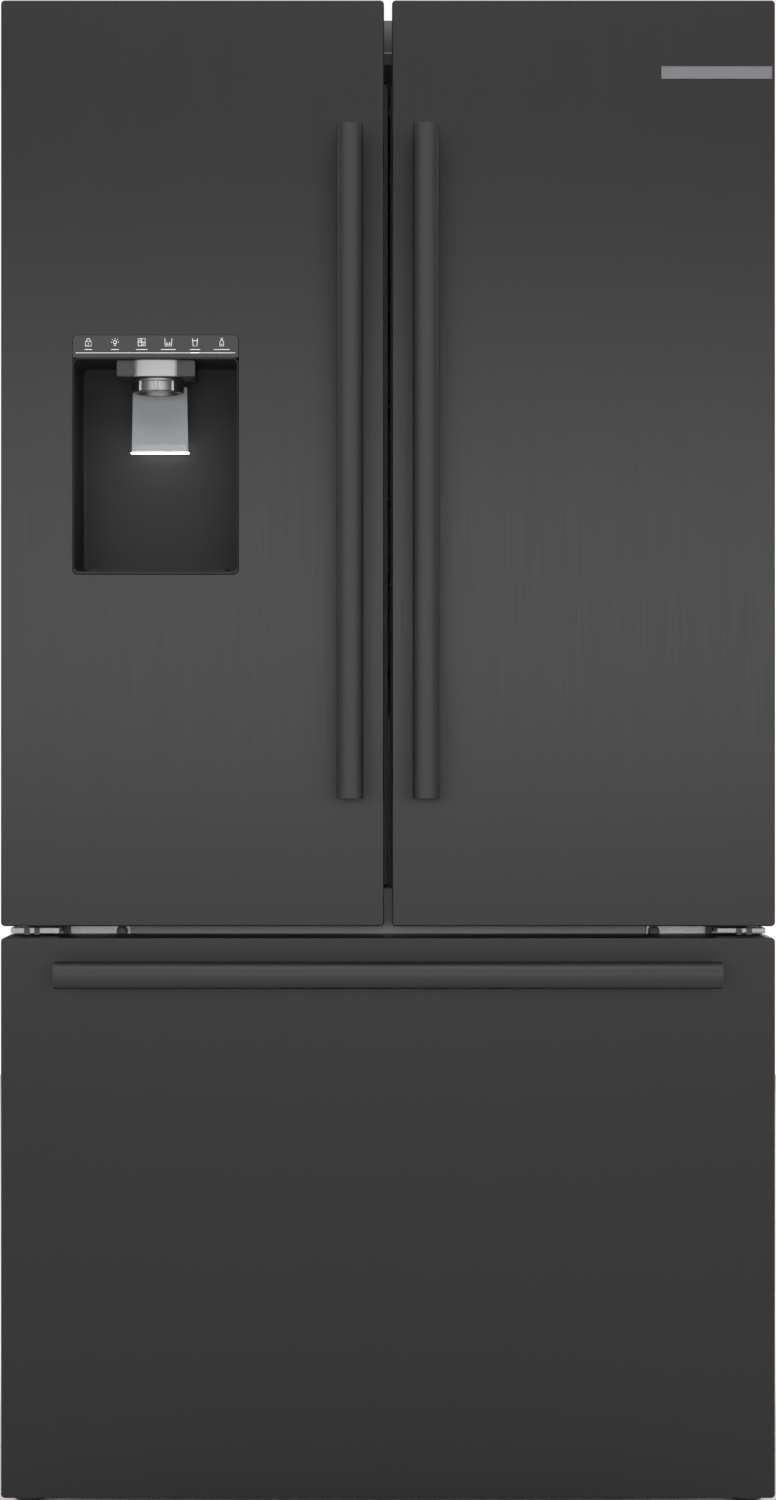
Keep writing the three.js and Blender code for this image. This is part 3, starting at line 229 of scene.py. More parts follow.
class Look(Enum):
    """The finishes of the refrigerator, named for what each surface is made of; a few of them also carry
    painted light or shade.
    """

    # Stainless sheet with a dark oxide coat, brushed upright. Its highlights spread sideways, so the
    # fronts keep a soft change of tone from top to bottom. The strokes are drawn 0.9 mm wide, coarser
    # than the real 0.1 mm, to show at all.
    BLACK_STAINLESS = Finish(
        "black_stainless_steel", "#363636", 0.38, 1.0, (0.9, 0.9, 110.0), 0.0012, 0.03, 0.04, anisotropic=0.5
    )
    # The same coat on the upright bar handles, sanded rougher: an even tone along their whole length. Its
    # colour is a little lighter than the fronts': painted light on the handles.
    BAR_STAINLESS = Finish(
        "black_stainless_bar", "#3f3f3f", 0.5, 1.0, (0.9, 0.9, 110.0), 0.0012, 0.03, 0.04, anisotropic=0.3
    )
    # The same bar stock, with the same painted lighter colour, brushed along the level handle.
    BAR_STAINLESS_LEVEL = Finish(
        "black_stainless_level_bar", "#3f3f3f", 0.5, 1.0, (110.0, 0.9, 0.9), 0.0012, 0.03, 0.04,
        anisotropic=0.3,
    )
    # Plain brushed stainless on the water outlet: a light, soft-edged mirror.
    SATIN_STAINLESS = Finish(
        "satin_stainless_steel", "#8c8c8d", 0.38, 1.0, (0.5, 0.5, 20.0), 0.001, 0.04, 0.04
    )
    # Satin nickel on the blank plate: mid grey, brushed level, without clear reflections.
    SATIN_NICKEL = Finish("satin_nickel_plate", "#68696b", 0.4, 1.0, (24.0, 0.6, 0.6), 0.001, 0.04, 0.05)
    # Polyester powder coat on the case: a fine orange peel that breaks up the light.
    POWDER_COAT = Finish(
        "textured_powder_coat", "#565657", 0.52, 0.0, (1.6, 1.6, 1.6), 0.05, 0.06, 0.04, coat=0.1
    )
    # Smooth coat on the rail between the doors and the drawer, paler than the case's coat: painted light in
    # the narrow gap.
    RAIL_COAT = Finish("smooth_grey_coat", "#969696", 0.4, 0.2, (1.6, 1.6, 1.6), 0.02, 0.05, 0.03)
    # Galvanised sheet: pale crystals, each a slightly different grey.
    ZINC_SHEET = Spangled(
        "galvanised_steel", "#9da0a3", 0.42, 1.0, relief=0.0015, gloss_spread=0.1, tone_spread=0.16
    )
    # Bright zinc on hinges, slides, shelf arms and tracks: smooth, slightly blue.
    BRIGHT_ZINC = Finish("bright_zinc_plate", "#949698", 0.3, 1.0, (0.8, 0.8, 0.8), 0.002, 0.06, 0.05)
    # Black phosphate on screws and bolts: a dull, dark grey metal.
    BLACK_PHOSPHATE = Finish("black_phosphate_steel", "#505153", 0.45, 0.9, (0.6, 0.6, 0.6), 0.004, 0.08, 0.1)
    # Baked enamel on the compressor: deep black with a soft shine.
    BLACK_ENAMEL = Finish("black_enamel", "#161719", 0.32, 0.0, (3.0, 3.0, 3.0), 0.02, 0.05, 0.1, coat=0.4)
    # White polystyrene on the inner panels, the rooms and most mouldings: clean, a little waxy.
    LINER_POLYSTYRENE = Finish(
        "white_liner_polystyrene", "#eceeef", 0.34, 0.0, (4.0, 4.0, 4.0), 0.01, 0.05, 0.012, ior=1.59
    )
    # Moulded ABS with a spark-eroded grain: dark and even.
    BLACK_ABS = Finish("black_abs", "#1c1c1c", 0.46, 0.0, (0.9, 0.9, 0.9), 0.012, 0.06, 0.08, ior=1.53)
    # The same ABS in the niche, on its tray and on the mullion guide, with a deeper grain that takes the
    # shine off; its darker colour is painted shade for these recesses.
    NICHE_ABS = Finish("grained_black_abs", "#0e0e0e", 0.66, 0.0, (1.2, 1.2, 1.2), 0.03, 0.05, 0.06, ior=1.49)
    # Grey ABS on trims and covers, with the same grain.
    GREY_ABS = Finish("grey_abs", "#646464", 0.5, 0.0, (0.9, 0.9, 0.9), 0.012, 0.06, 0.05, ior=1.53)
    # Gloss ABS behind the control icons: dark grey with a clean reflection.
    GLOSS_ABS = Finish(
        "gloss_abs", "#161616", 0.43, 0.0, (3.0, 3.0, 3.0), 0.002, 0.03, 0.03, ior=1.53, coat=0.1
    )
    # Injection-moulded clear polystyrene: see-through with pale edges.
    CLEAR_POLYSTYRENE = Finish(
        "clear_polystyrene", "#dbe6ea", 0.12, 0.0, (6.0, 6.0, 6.0), 0.02, 0.04, 0.02, ior=1.59, alpha=0.42
    )
    # Frosted polycarbonate on the paddle: milky grey that carries the light of the lamp below it.
    FROSTED_POLYCARBONATE = Finish(
        "frosted_polycarbonate", "#8d9094", 0.42, 0.0, (1.0, 1.0, 1.0), 0.01, 0.05, 0.04, ior=1.58, alpha=0.92
    )
    # Tempered soda-lime glass: faint green and quite smooth.
    SHELF_GLASS = Finish(
        "tempered_glass", "#cfe6dd", 0.06, 0.0, (40.0, 40.0, 40.0), 0.01, 0.02, 0.02, ior=1.52, alpha=0.3
    )
    # Extruded PVC with a magnet strip inside: soft, dull and dark grey.
    PVC_SEAL = Finish("pvc_door_seal", "#4a4b4c", 0.62, 0.0, (0.8, 0.8, 0.8), 0.01, 0.06, 0.08, ior=1.54)
    # Black polypropylene on rollers and feet: dull and worn smooth.
    BLACK_POLYPROPYLENE = Finish(
        "black_polypropylene", "#1b1c1d", 0.55, 0.0, (1.0, 1.0, 1.0), 0.02, 0.06, 0.1
    )
    # Rigid polyurethane foam: straw yellow with open cells.
    RIGID_FOAM = Finish("polyurethane_foam", "#dcc78c", 0.9, 0.0, (2.0, 2.0, 2.0), 0.3, 0.05, 0.1)
    # Drawn copper on the refrigerant lines.
    COPPER = Finish("drawn_copper", "#b8734f", 0.3, 1.0, (0.8, 0.8, 12.0), 0.002, 0.06, 0.08)
    # Opal acrylic over the ceiling lamps, which are off: an even soft white.
    OPAL_ACRYLIC = Finish("opal_acrylic", "#f4f5f1", 0.35, 0.0, (3.0, 3.0, 3.0), 0.01, 0.04, 0.01)
    # Lamp lens at the foot of the paddle: a cool white glow.
    LAMP_LENS = Finish("white_lamp_lens", "#f3f5f6", 0.3, 0.0, (2.0, 2.0, 2.0), 0.01, 0.04, 0.01, glow=9.0)
    # Small indicator lens on the control panel: lit, but not glaring.
    INDICATOR_LENS = Finish(
        "indicator_lens", "#f3f3f3", 0.4, 0.0, (2.0, 2.0, 2.0), 0.01, 0.04, 0.01, glow=0.9
    )
    # Screen-printed marks: thin, flat, pale grey ink with a faint glow that is painted light.
    SCREEN_PRINT = Finish(
        "pale_screen_print", "#dcdcdc", 0.6, 0.0, (0.6, 0.6, 0.6), 0.004, 0.05, 0.05, glow=0.32
    )

    @property
    def material(self) -> bpy.types.Material:
        """The material of this finish, made the first time it is asked for."""
        return bpy.data.materials.get(self.value.name) or self.value.build()


# ---- Outlines and meshes -----------------------------------------------------------------


class Plane(Enum):
    """The plane that an outline is drawn in; its depth runs along the axis that is left."""

    FRONT = "x and z"
    PLAN = "x and y"
    SIDE = "y and z"

    def place(self, a: float, b: float, depth: float) -> Vector:
        """Puts a point of an outline in space.

        Args:
            a: First coordinate in the plane.
            b: Second coordinate in the plane.
            depth: Coordinate across the plane.

        Returns:
            The point.
        """
        order = {Plane.FRONT: (a, depth, b), Plane.PLAN: (a, b, depth), Plane.SIDE: (depth, a, b)}
        return Vector(order[self])


def grown(span: Span, by: float) -> Span:
    """The span with both ends moved out."""
    return (span[0] - by, span[1] + by)


def middle(span: Span) -> float:
    """The middle of a span."""
    return (span[0] + span[1]) / 2


def around(centre: float, half: float) -> Span:
    """The span with that middle and half length."""
    return (centre - half, centre + half)


def ordered(first: float, second: float) -> Span:
    """The span between two places, given in any order."""
    return (min(first, second), max(first, second))


def bent(centre: tuple[float, float], across: float, up: float, turn: float, steps: int) -> Outline:
    """An arc that starts at the centre's right and goes counter-clockwise.

    Args:
        centre: Its middle.
        across: Its radius along the first axis.
        up: Its radius along the second axis.
        turn: The angle that it covers.
        steps: Segments in it.

    Returns:
        Its points, with both ends.
    """
    angles = [turn * step / steps for step in range(steps + 1)]
    return [(centre[0] + across * math.cos(t), centre[1] + up * math.sin(t)) for t in angles]


def rounded_rect(
    width: Span, height: Span, radius: float, lower: float | None = None, steps: int = 5
) -> Outline:
    """A rectangle with round corners.

    Args:
        width: Its span along the first axis.
        height: Its span along the second axis.
        radius: Radius of the upper corners, and of the lower ones unless they have their own.
        lower: Radius of the lower corners.
        steps: Segments in each corner.

    Returns:
        Its points, anticlockwise from the lower right corner.
    """
    top = max(TINY, min(radius, (width[1] - width[0]) / 2, (height[1] - height[0]) / 2))
    foot = top if lower is None else max(TINY, lower)
    corners = [
        (width[1] - foot, height[0] + foot, foot, -90),
        (width[1] - top, height[1] - top, top, 0),
        (width[0] + top, height[1] - top, top, 90),
        (width[0] + foot, height[0] + foot, foot, 180),
    ]
    points: Outline = []
    for a, b, r, start in corners:
        for step in range(steps + 1):
            angle = math.radians(start + 90 * step / steps)
            points.append((a + r * math.cos(angle), b + r * math.sin(angle)))
    return points


def circle(centre: tuple[float, float], radius: float, steps: int = 32) -> Outline:
    """A circle as a polygon, with a point on its first axis."""
    turns = [2 * math.pi * step / steps for step in range(steps)]
    return [(centre[0] + radius * math.cos(t), centre[1] + radius * math.sin(t)) for t in turns]


def rolled(depth: Span, near: float, far: float, steps: int = 4) -> list[tuple[float, float]]:
    """Insets and depths along a side whose two ends are rounded.

    Args:
        depth: Where the side starts and ends.
        near: Radius at its start.
        far: Radius at its end.
        steps: Segments in each round.

    Returns:
        Pairs of inset and depth.
    """
    sign = 1 if depth[1] > depth[0] else -1
    quarter = [math.pi / 2 * step / steps for step in range(steps + 1)]
    start = [(near * (1 - math.sin(t)), depth[0] + sign * near * (1 - math.cos(t))) for t in quarter]
    end = [(far * (1 - math.sin(t)), depth[1] - sign * far * (1 - math.cos(t))) for t in reversed(quarter)]
    return start + end


class MeshDraft:
    """A mesh under construction."""

    def __init__(self) -> None:
        """Starts an empty mesh."""
        self.mesh = bmesh.new()

    def loft(
        self, plane: Plane, stations: Sequence[tuple[Outline, float | Callable]], closed: bool = False
    ) -> None:
        """Joins outlines with the same number of points into one skin.

        Args:
            plane: The plane of the outlines.
            stations: Each outline with its depth, or with a function from its points to their depth.
            closed: Join the last outline to the first, instead of capping both.
        """
        rings = []
        for outline, depth in stations:
            depths = [depth(a, b) if callable(depth) else depth for a, b in outline]
            rings.append([self.mesh.verts.new(plane.place(a, b, d)) for (a, b), d in zip(outline, depths)])
        pairs = list(zip(rings, rings[1:]))
        if closed:
            pairs.append((rings[-1], rings[0]))
        else:
            self.mesh.faces.new(list(reversed(rings[0])))
            self.mesh.faces.new(rings[-1])
        for first, second in pairs:
            for i, corner in enumerate(first):
                j = (i + 1) % len(first)
                self.mesh.faces.new((corner, first[j], second[j], second[i]))

    def slab(
        self, plane: Plane, width: Span, height: Span, depth: Span, corner: float = 1 * MM,
        edge: float = 0.6 * MM, steps: int = 3,
    ) -> None:
        """A plate or block with round corners and round edges.

        Args:
            plane: The plane of its outline.
            width: Its span along the plane's first axis.
            height: Its span along the plane's second axis.
            depth: Its span across the plane.
            corner: Radius of the outline's corners.
            edge: Radius of the edges round both faces.
            steps: Segments in each round.
        """
        edge = min(edge, abs(depth[1] - depth[0]) / 2.01)
        self.loft(plane, [
            (rounded_rect(grown(width, -inset), grown(height, -inset), corner - inset, steps=steps), place)
            for inset, place in rolled(depth, edge, edge, steps)
        ])

    def turned(
        self, plane: Plane, centre: tuple[float, float], profile: Iterable[tuple[float, float]],
        steps: int = 32, closed: bool = False,
    ) -> None:
        """A round piece on an axis across the plane.

        Args:
            plane: The plane that the axis crosses.
            centre: Where it crosses.
            profile: Radii and the places along the axis that they are at.
            steps: Sides of the circle.
            closed: The profile closes on itself, as a ring's does.
        """
        self.loft(plane, [(circle(centre, radius, steps), place) for radius, place in profile], closed)

    def ring(
        self, plane: Plane, width: Span, height: Span, corner: float, profile: Iterable[tuple[float, float]],
    ) -> None:
        """A frame with the same section all round.

        Args:
            plane: The plane of the frame.
            width: Its outer span along the first axis.
            height: Its outer span along the second axis.
            corner: Its outer corner radius.
            profile: The section, as insets from the outer edge and depths.
        """
        self.loft(plane, [
            (rounded_rect(grown(width, -inset), grown(height, -inset), corner - inset), place)
            for inset, place in profile
        ], closed=True)

    def tube(self, path: Sequence[Vector], radius: float, sides: int = 8) -> None:
        """A round bar along a path.

        Args:
            path: The points on its middle line.
            radius: Its radius.
            sides: Sides of its section.
        """
        points = [Vector(p) for p in path]
        rings = []
        across = (points[1] - points[0]).orthogonal().normalized()
        for i, point in enumerate(points):
            ahead = points[min(i + 1, len(points) - 1)] - points[max(i - 1, 0)]
            ahead.normalize()
            across = (across - ahead * across.dot(ahead)).normalized()
            up = ahead.cross(across)
            turns = [2 * math.pi * side / sides for side in range(sides)]
            rings.append([
                self.mesh.verts.new(point + radius * (math.cos(t) * across + math.sin(t) * up)) for t in turns
            ])
        self.mesh.faces.new(list(reversed(rings[0])))
        self.mesh.faces.new(rings[-1])
        for first, second in zip(rings, rings[1:]):
            for i, corner in enumerate(first):
                j = (i + 1) % sides
                self.mesh.faces.new((corner, first[j], second[j], second[i]))

    def hex_bolt(
        self, plane: Plane, centre: tuple[float, float], seat: float, across: float, out: float
    ) -> None:
        """A flanged hexagon head.

        Args:
            plane: The plane that it is screwed into.
            centre: Its place in that plane.
            seat: Depth of the face it sits on.
            across: Size of the hexagon.
            out: Height of the head, negative towards lower depths.
        """
        flange = 0.72 * across
        skirt = [(flange, seat), (flange, seat + 0.2 * out), (0.9 * flange, seat + 0.3 * out)]
        self.turned(plane, centre, skirt, 24)
        half = across / math.sqrt(3)
        head = [(half, 0.25), (half, 0.88), (0.88 * half, 1.0)]
        self.turned(plane, centre, [(radius, seat + share * out) for radius, share in head], 6)

    def pan_screw(
        self, plane: Plane, centre: tuple[float, float], seat: float, radius: float, out: float
    ) -> None:
        """A domed screw head with a dimple for the driver.

        Args:
            plane: The plane that it is screwed into.
            centre: Its place in that plane.
            seat: Depth of the face it sits on.
            radius: Radius of the head.
            out: Height of the head, negative towards lower depths.
        """
        dome = [(1.0, 0.0), (0.96, 0.5), (0.75, 0.85), (0.5, 1.0), (0.38, 1.0), (0.3, 0.45), (0.12, 0.4)]
        self.turned(plane, centre, [(share * radius, seat + rise * out) for share, rise in dome], 16)

    def to_mesh(self, name: str) -> bpy.types.Mesh:
        """Closes the draft.

        Args:
            name: The mesh's name.

        Returns:
            The mesh, with its faces pointing out.
        """
        bmesh.ops.recalc_face_normals(self.mesh, faces=self.mesh.faces)
        mesh = bpy.data.meshes.new(name)
        self.mesh.to_mesh(mesh)
        self.mesh.free()
        return mesh

    def piece(self, name: str, look: Look, body: str, replaces: Sequence[str] = ()) -> bpy.types.Object:
        """Makes the draft a finished piece on its body.

        Args:
            name: The piece's name.
            look: Its finish.
            body: The body that it rides on.
            replaces: The parts of the frame that it stands for.

        Returns:
            The new object.
        """
        piece = bpy.data.objects.new(name, self.to_mesh(name))
        bpy.context.scene.collection.objects.link(piece)
        piece.data.materials.append(look.material)
        shade(piece.data)
        keep_flats(piece)
        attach(piece, body)
        if replaces:
            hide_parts(*replaces)
        LOG.info("built %s", name)
        return piece


def shade(mesh: bpy.types.Mesh, angle: float = 38) -> None:
    """Shades a mesh smooth, apart from edges sharper than an angle in degrees."""
    mesh.polygons.foreach_set("use_smooth", [True] * len(mesh.polygons))
    mesh.set_sharp_from_angle(angle=math.radians(angle))


def keep_flats(piece: bpy.types.Object) -> None:
    """Weighs the shading normals by area, so that a flat face stays flat up to its rounded edges."""
    weights = piece.modifiers.new("weights", "WEIGHTED_NORMAL")
    weights.keep_sharp = True
    weights.weight = 100


def carve(piece: bpy.types.Object, tool: MeshDraft) -> None:
    """Cuts a draft's shape out of a piece.

    Args:
        piece: The piece to cut.
        tool: The shape to take away.
    """
    cutter = bpy.data.objects.new("cutter", tool.to_mesh("cutter"))
    bpy.context.scene.collection.objects.link(cutter)
    piece.modifiers.clear()
    cut = piece.modifiers.new("cut", "BOOLEAN")
    cut.operation = "DIFFERENCE"
    cut.solver = "EXACT"
    cut.object = cutter
    bpy.context.view_layer.update()
    whole = piece.data
    finished = piece.evaluated_get(bpy.context.evaluated_depsgraph_get())
    piece.data = bpy.data.meshes.new_from_object(finished)
    piece.modifiers.clear()
    piece.data.name = piece.name
    shade(piece.data)
    keep_flats(piece)
    for block in (cutter.data, whole):
        bpy.data.meshes.remove(block)


# ---- The frame's parts -------------------------------------------------------------------


@dataclass(frozen=True)
class Box:
    """The room that a part of the frame takes, as a span on each axis."""

    x: Span
    y: Span
    z: Span

    @classmethod
    def of(cls, node: str) -> Box:
        """The box of one part of the frame."""
        low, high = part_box(node)
        return cls(*((low[axis], high[axis]) for axis in range(3)))


class Side(Enum):
    """Left or right, as seen from the front."""

    LEFT = -1
    RIGHT = 1

    @property
    def word(self) -> str:
        """The side's name as the parts spell it."""
        return self.name.lower()

    def inner(self, width: Span) -> float:
        """The end of a span on this side that is nearer the middle."""
        return width[0] if self is Side.RIGHT else width[1]

    def outer(self, width: Span) -> float:
        """The end of a span on this side that is farther from the middle."""
        return width[1] if self is Side.RIGHT else width[0]


@dataclass(frozen=True)
class Dressing:
    """A finish and rounded edges for a part of the frame that keeps its own shape."""

    node: str
    look: Look
    edge: float = 0.8 * MM
    segments: int = 2

    def apply(self, nodes: dict[str, bpy.types.Object]) -> None:
        """Dresses the part.

        Args:
            nodes: The frame's parts by name.
        """
        part = nodes[self.node]
        part.data.materials.clear()
        part.data.materials.append(self.look.material)
        own_normals = part.data.attributes.get("custom_normal")
        if own_normals:
            part.data.attributes.remove(own_normals)
        part.data.polygons.foreach_set("use_smooth", [True] * len(part.data.polygons))
        weld = part.modifiers.new("weld", "WELD")
        weld.merge_threshold = 0.01 * MM
        flats = part.modifiers.new("flats", "DECIMATE")
        flats.decimate_type = "DISSOLVE"
        flats.angle_limit = math.radians(1)
        edges = part.modifiers.new("edges", "BEVEL")
        edges.width = self.edge
        edges.segments = self.segments
        edges.limit_method = "ANGLE"
        edges.angle_limit = math.radians(32)
        edges.harden_normals = True
        LOG.info("dressed %s", self.node)


def filleted(
    width: Span, height: Span, back: float, fillet: float, corner: float, steps: int = 5
) -> list[tuple[Outline, float]]:
    """The rounded end of a room, where its walls run into its back.

    Args:
        width: The room's span across.
        height: Its upright span.
        back: Depth of its back.
        fillet: Radius between the walls and the back.
        corner: Radius of its upright corners.
        steps: Segments in the round.

    Returns:
        Outlines and their depths, from the walls to the back.
    """
    stations = []
    for step in range(steps + 1):
        angle = math.pi / 2 * step / steps
        inset = fillet * (1 - math.cos(angle))
        depth = back - fillet * (1 - math.sin(angle))
        stations.append((rounded_rect(grown(width, -inset), grown(height, -inset), corner - inset), depth))
    return stations


# ---- Fronts and handles ------------------------------------------------------------------


@dataclass
class FormedFront:
    """Steel front of a door or the drawer: pressed from one sheet, with rolled edges and a hem."""

    node: str
    body: str
    edge: float = 1.8 * MM
    corner: float = 4.7 * MM
    sheet: float = 2 * MM
    hem: float = 0.9 * MM

    def build(self) -> bpy.types.Object:
        """Builds the front as a thin shell, open behind.

        Returns:
            The shell.
        """
        box = Box.of(self.node)
        front, rear = box.y
        path = rolled((front, rear), self.edge, self.hem, 5)
        path += [(self.sheet, rear), (self.sheet + self.edge / 2, front + self.sheet)]
        draft = MeshDraft()
        draft.loft(Plane.FRONT, [
            (rounded_rect(grown(box.x, -inset), grown(box.z, -inset), self.corner - inset), depth)
            for inset, depth in path
        ])
        return draft.piece(self.node + "_shell", Look.BLACK_STAINLESS, self.body, [self.node])


@dataclass
class BarHandle:
    """Bar with a crowned face and square-cut ends, on two end posts."""

    node: str
    body: str
    upright: bool = True
    bar_depth: float = 22 * MM
    crown: float = 8 * MM
    post: float = 44 * MM
    post_inset: float = 2 * MM
    soft_edge: float = 1.1 * MM

    def section(self, centre: float, half: float, front: float, inset: float) -> Outline:
        """The bar's section.

        Args:
            centre: Middle of the bar across its width.
            half: Half its width.
            front: Depth of the crown's top.
            inset: How far the section is drawn in all round.

        Returns:
            Points across the width and along the depth.
        """
        side, top = half - inset, front + inset
        rear = front + self.bar_depth - inset
        spring = front + self.crown
        soft = self.soft_edge
        points = [(centre + side * math.cos(t), spring - (spring - top) * math.sin(t)) for t in (
            math.pi * step / 24 for step in range(25))]
        points += [(centre - side, rear - soft), (centre - side + soft / 2, rear - soft / 4)]
        points += [(centre - side + soft, rear), (centre + side - soft, rear)]
        points += [(centre + side - soft / 2, rear - soft / 4), (centre + side, rear - soft)]
        return points

    def build(self) -> bpy.types.Object:
        """Builds the bar and its posts.

        Returns:
            The handle.
        """
        box = Box.of(self.node)
        across, along = (box.x, box.z) if self.upright else (box.z, box.x)
        half = (across[1] - across[0]) / 2
        draft = MeshDraft()
        stations = []
        for inset, place in rolled(along, self.soft_edge, self.soft_edge, 3):
            outline = self.section(middle(across), half, box.y[0], inset)
            stations.append((outline, place))
        if self.upright:
            draft.loft(Plane.PLAN, stations)
        else:
            draft.loft(Plane.SIDE, [([(y, z) for z, y in outline], place) for outline, place in stations])
        post_depth = (box.y[0] + self.bar_depth - 2 * MM, box.y[1])
        for end, sign in ((along[0], 1), (along[1], -1)):
            near = end + sign * self.post_inset
            length = ordered(near, near + sign * self.post)
            width = grown(across, -self.post_inset)
            spans = (width, length) if self.upright else (length, width)
            draft.slab(Plane.FRONT, *spans, post_depth, corner=4 * MM, edge=0.5 * MM)
        # Both bar finishes are lighter than the fronts: painted light.
        look = Look.BAR_STAINLESS if self.upright else Look.BAR_STAINLESS_LEVEL
        return draft.piece(self.node + "_bar", look, self.body, [self.node])


@dataclass
class DoorSeal:
    """Magnetic seal: a bead for the magnet on a folding bellows."""

    node: str
    body: str
    corner: float = 9 * MM
    lip: float = 0.0  # flap towards the other door
    lip_inset: float = 34 * MM  # keeps the flap clear of the mullion guide

    def build(self) -> bpy.types.Object:
        """Builds the seal as one frame.

        Returns:
            The seal.
        """
        box = Box.of(self.node)
        front, rear = box.y
        depth = rear - front
        section = [
            (3, 0.0), (2.2, 0.16), (4.2, 0.3), (1.8, 0.44), (0.4, 0.6), (0.0, 0.8), (0.9, 0.96),
            (3, 1.0), (14, 1.0), (16.2, 0.94), (17, 0.74), (15.6, 0.55), (17.6, 0.4), (15.4, 0.24),
            (16.4, 0.1), (15, 0.0),
        ]
        draft = MeshDraft()
        profile = [(inset * MM, front + share * depth) for inset, share in section]
        draft.ring(Plane.FRONT, box.x, box.z, self.corner, profile)
        if self.lip:
            draft.slab(
                Plane.FRONT, (box.x[0] - self.lip, box.x[0] + 3 * MM), grown(box.z, -self.lip_inset),
                (front + 0.76 * depth, front + 0.9 * depth), corner=1 * MM, edge=0.5 * MM)
        return draft.piece(self.node + "_seal", Look.PVC_SEAL, self.body, [self.node])


# ---- Doors -------------------------------------------------------------------------------


@dataclass
class FridgeDoor:
    """One fridge door: front, inner panel, seal, handle and stop plate."""

    side: Side
    dyke_wall: float = 18 * MM  # width of the inner panel's raised frame
    dyke_draft: float = 4 * MM  # how far its sides lean in
    dyke_corner: float = 16 * MM
    recess_front: float = 33 * MM  # door's front to the hinge recess
    recess_clearance: float = 2 * MM
    recess_drop: float = 3 * MM  # below the case's top
    cut_past: float = 60 * MM  # how far a cut reaches beside and behind the door
    cut_over: float = 20 * MM  # how far it reaches above and ahead of it
    seal_lip: float = 5.4 * MM
    mullion_room: float = 51 * MM  # inner panel's edge to its frame, past the folded mullion
    plain_room: float = 29 * MM  # the same on the door without the mullion
    outer_room: float = 13 * MM  # frame to the wall of the food room
    end_room: float = 11 * MM  # the same above and below
    hole_gap: float = 0.3 * MM  # round the dispenser
    hole_corner: float = 6.3 * MM
    cover_wall: float = 3 * MM  # niche cover outside the niche
    cover_skin: float = 2.5 * MM  # its thickness behind the niche
    plate_reach: Span = (44 * MM, 100 * MM)  # stop plate from the door's outer side
    plate_depth: Span = (44 * MM, 80 * MM)  # stop plate from the door's front
    plate_sheet: float = 1.6 * MM

    @property
    def body(self) -> str:
        """The body that everything on the door rides on."""
        return f"{self.side.word}_door"

    @property
    def skin(self) -> Box:
        """The box of the door's front."""
        return Box.of(f"{self.body}_skin")

    def hinge_recess(self) -> MeshDraft:
        """The room in the door's upper corner that the fixed hinge arm turns in.

        Returns:
            Its shape, to be cut out.
        """
        skin = self.skin
        hinge = Box.of(f"{self.side.word}_top_hinge")
        clear = self.side.inner(hinge.x) - self.side.value * self.recess_clearance
        outside = self.side.value * (abs(clear) + self.cut_past)
        top = Box.of("cabinet_wrapper").z[1]
        draft = MeshDraft()
        draft.slab(
            Plane.FRONT, ordered(clear, outside), (top - self.recess_drop, skin.z[1] + self.cut_over),
            (skin.y[0] + self.recess_front, skin.y[1] + self.cut_past), corner=2 * MM, edge=0.4 * MM,
        )
        return draft

    def dispenser_hole(self) -> MeshDraft:
        """The hole in the left door for the niche and the control panel.

        Returns:
            Its shape, to be cut out.
        """
        niche, panel = Box.of("dispenser_housing"), Box.of("dispenser_panel")
        draft = MeshDraft()
        draft.slab(
            Plane.FRONT, grown(niche.x, self.hole_gap), grown((niche.z[0], panel.z[1]), self.hole_gap),
            (niche.y[0] - self.cut_over, niche.y[1] + self.hole_gap), corner=self.hole_corner,
            edge=0.2 * MM, steps=5,
        )
        return draft

    def liner(self) -> bpy.types.Object:
        """The formed inner panel with its raised frame.

        Returns:
            The panel, without the frame.
        """
        node = f"{self.body}_liner"
        box = Box.of(node)
        rear = self.skin.y[1]
        draft = MeshDraft()
        draft.slab(Plane.FRONT, box.x, box.z, (box.y[0], rear), corner=3 * MM, edge=1.5 * MM)
        panel = draft.piece(node + "_panel", Look.LINER_POLYSTYRENE, self.body, [node])
        fridge = Box.of("fridge_liner")
        free = self.mullion_room if self.side is Side.LEFT else self.plain_room
        inner = abs(self.side.inner(box.x)) + free
        outer = fridge.x[1] - self.outer_room
        width = ordered(self.side.value * inner, self.side.value * outer)
        top, wall, lean = box.y[1], self.dyke_wall, self.dyke_draft
        section = [
            (-3 * MM, rear - 1 * MM), (0, rear + 2.5 * MM), (lean * 0.6, top - 5 * MM), (lean, top - 2 * MM),
            (lean + 2 * MM, top), (wall - 2 * MM, top), (wall - 0.4 * MM, top - 2 * MM), (wall, top - 5 * MM),
            (wall, rear + 4 * MM), (wall + 3 * MM, rear + 0.6 * MM), (wall + 3 * MM, rear - 1 * MM),
        ]
        frame = MeshDraft()
        frame.ring(Plane.FRONT, width, grown(fridge.z, -self.end_room), self.dyke_corner, section)
        frame.piece(node + "_frame", Look.LINER_POLYSTYRENE, self.body)
        return panel

    def niche_cover(self) -> None:
        """The low cover on the inner panel over the back of the dispenser niche, up to the ice maker."""
        niche, panel, ice = Box.of("dispenser_housing"), Box.of("dispenser_panel"), Box.of("ice_maker_box")
        height = (niche.z[0] - self.cover_wall, min(panel.z[1] + self.cover_wall, ice.z[0] - 0.5 * MM))
        depth = (self.skin.y[1] - 1 * MM, niche.y[1] + self.cover_skin)
        draft = MeshDraft()
        draft.slab(Plane.FRONT, grown(niche.x, self.cover_wall), height, depth, corner=8 * MM, edge=1.2 * MM)
        cover = draft.piece("left_door_niche_cover", Look.LINER_POLYSTYRENE, self.body)
        carve(cover, self.dispenser_hole())

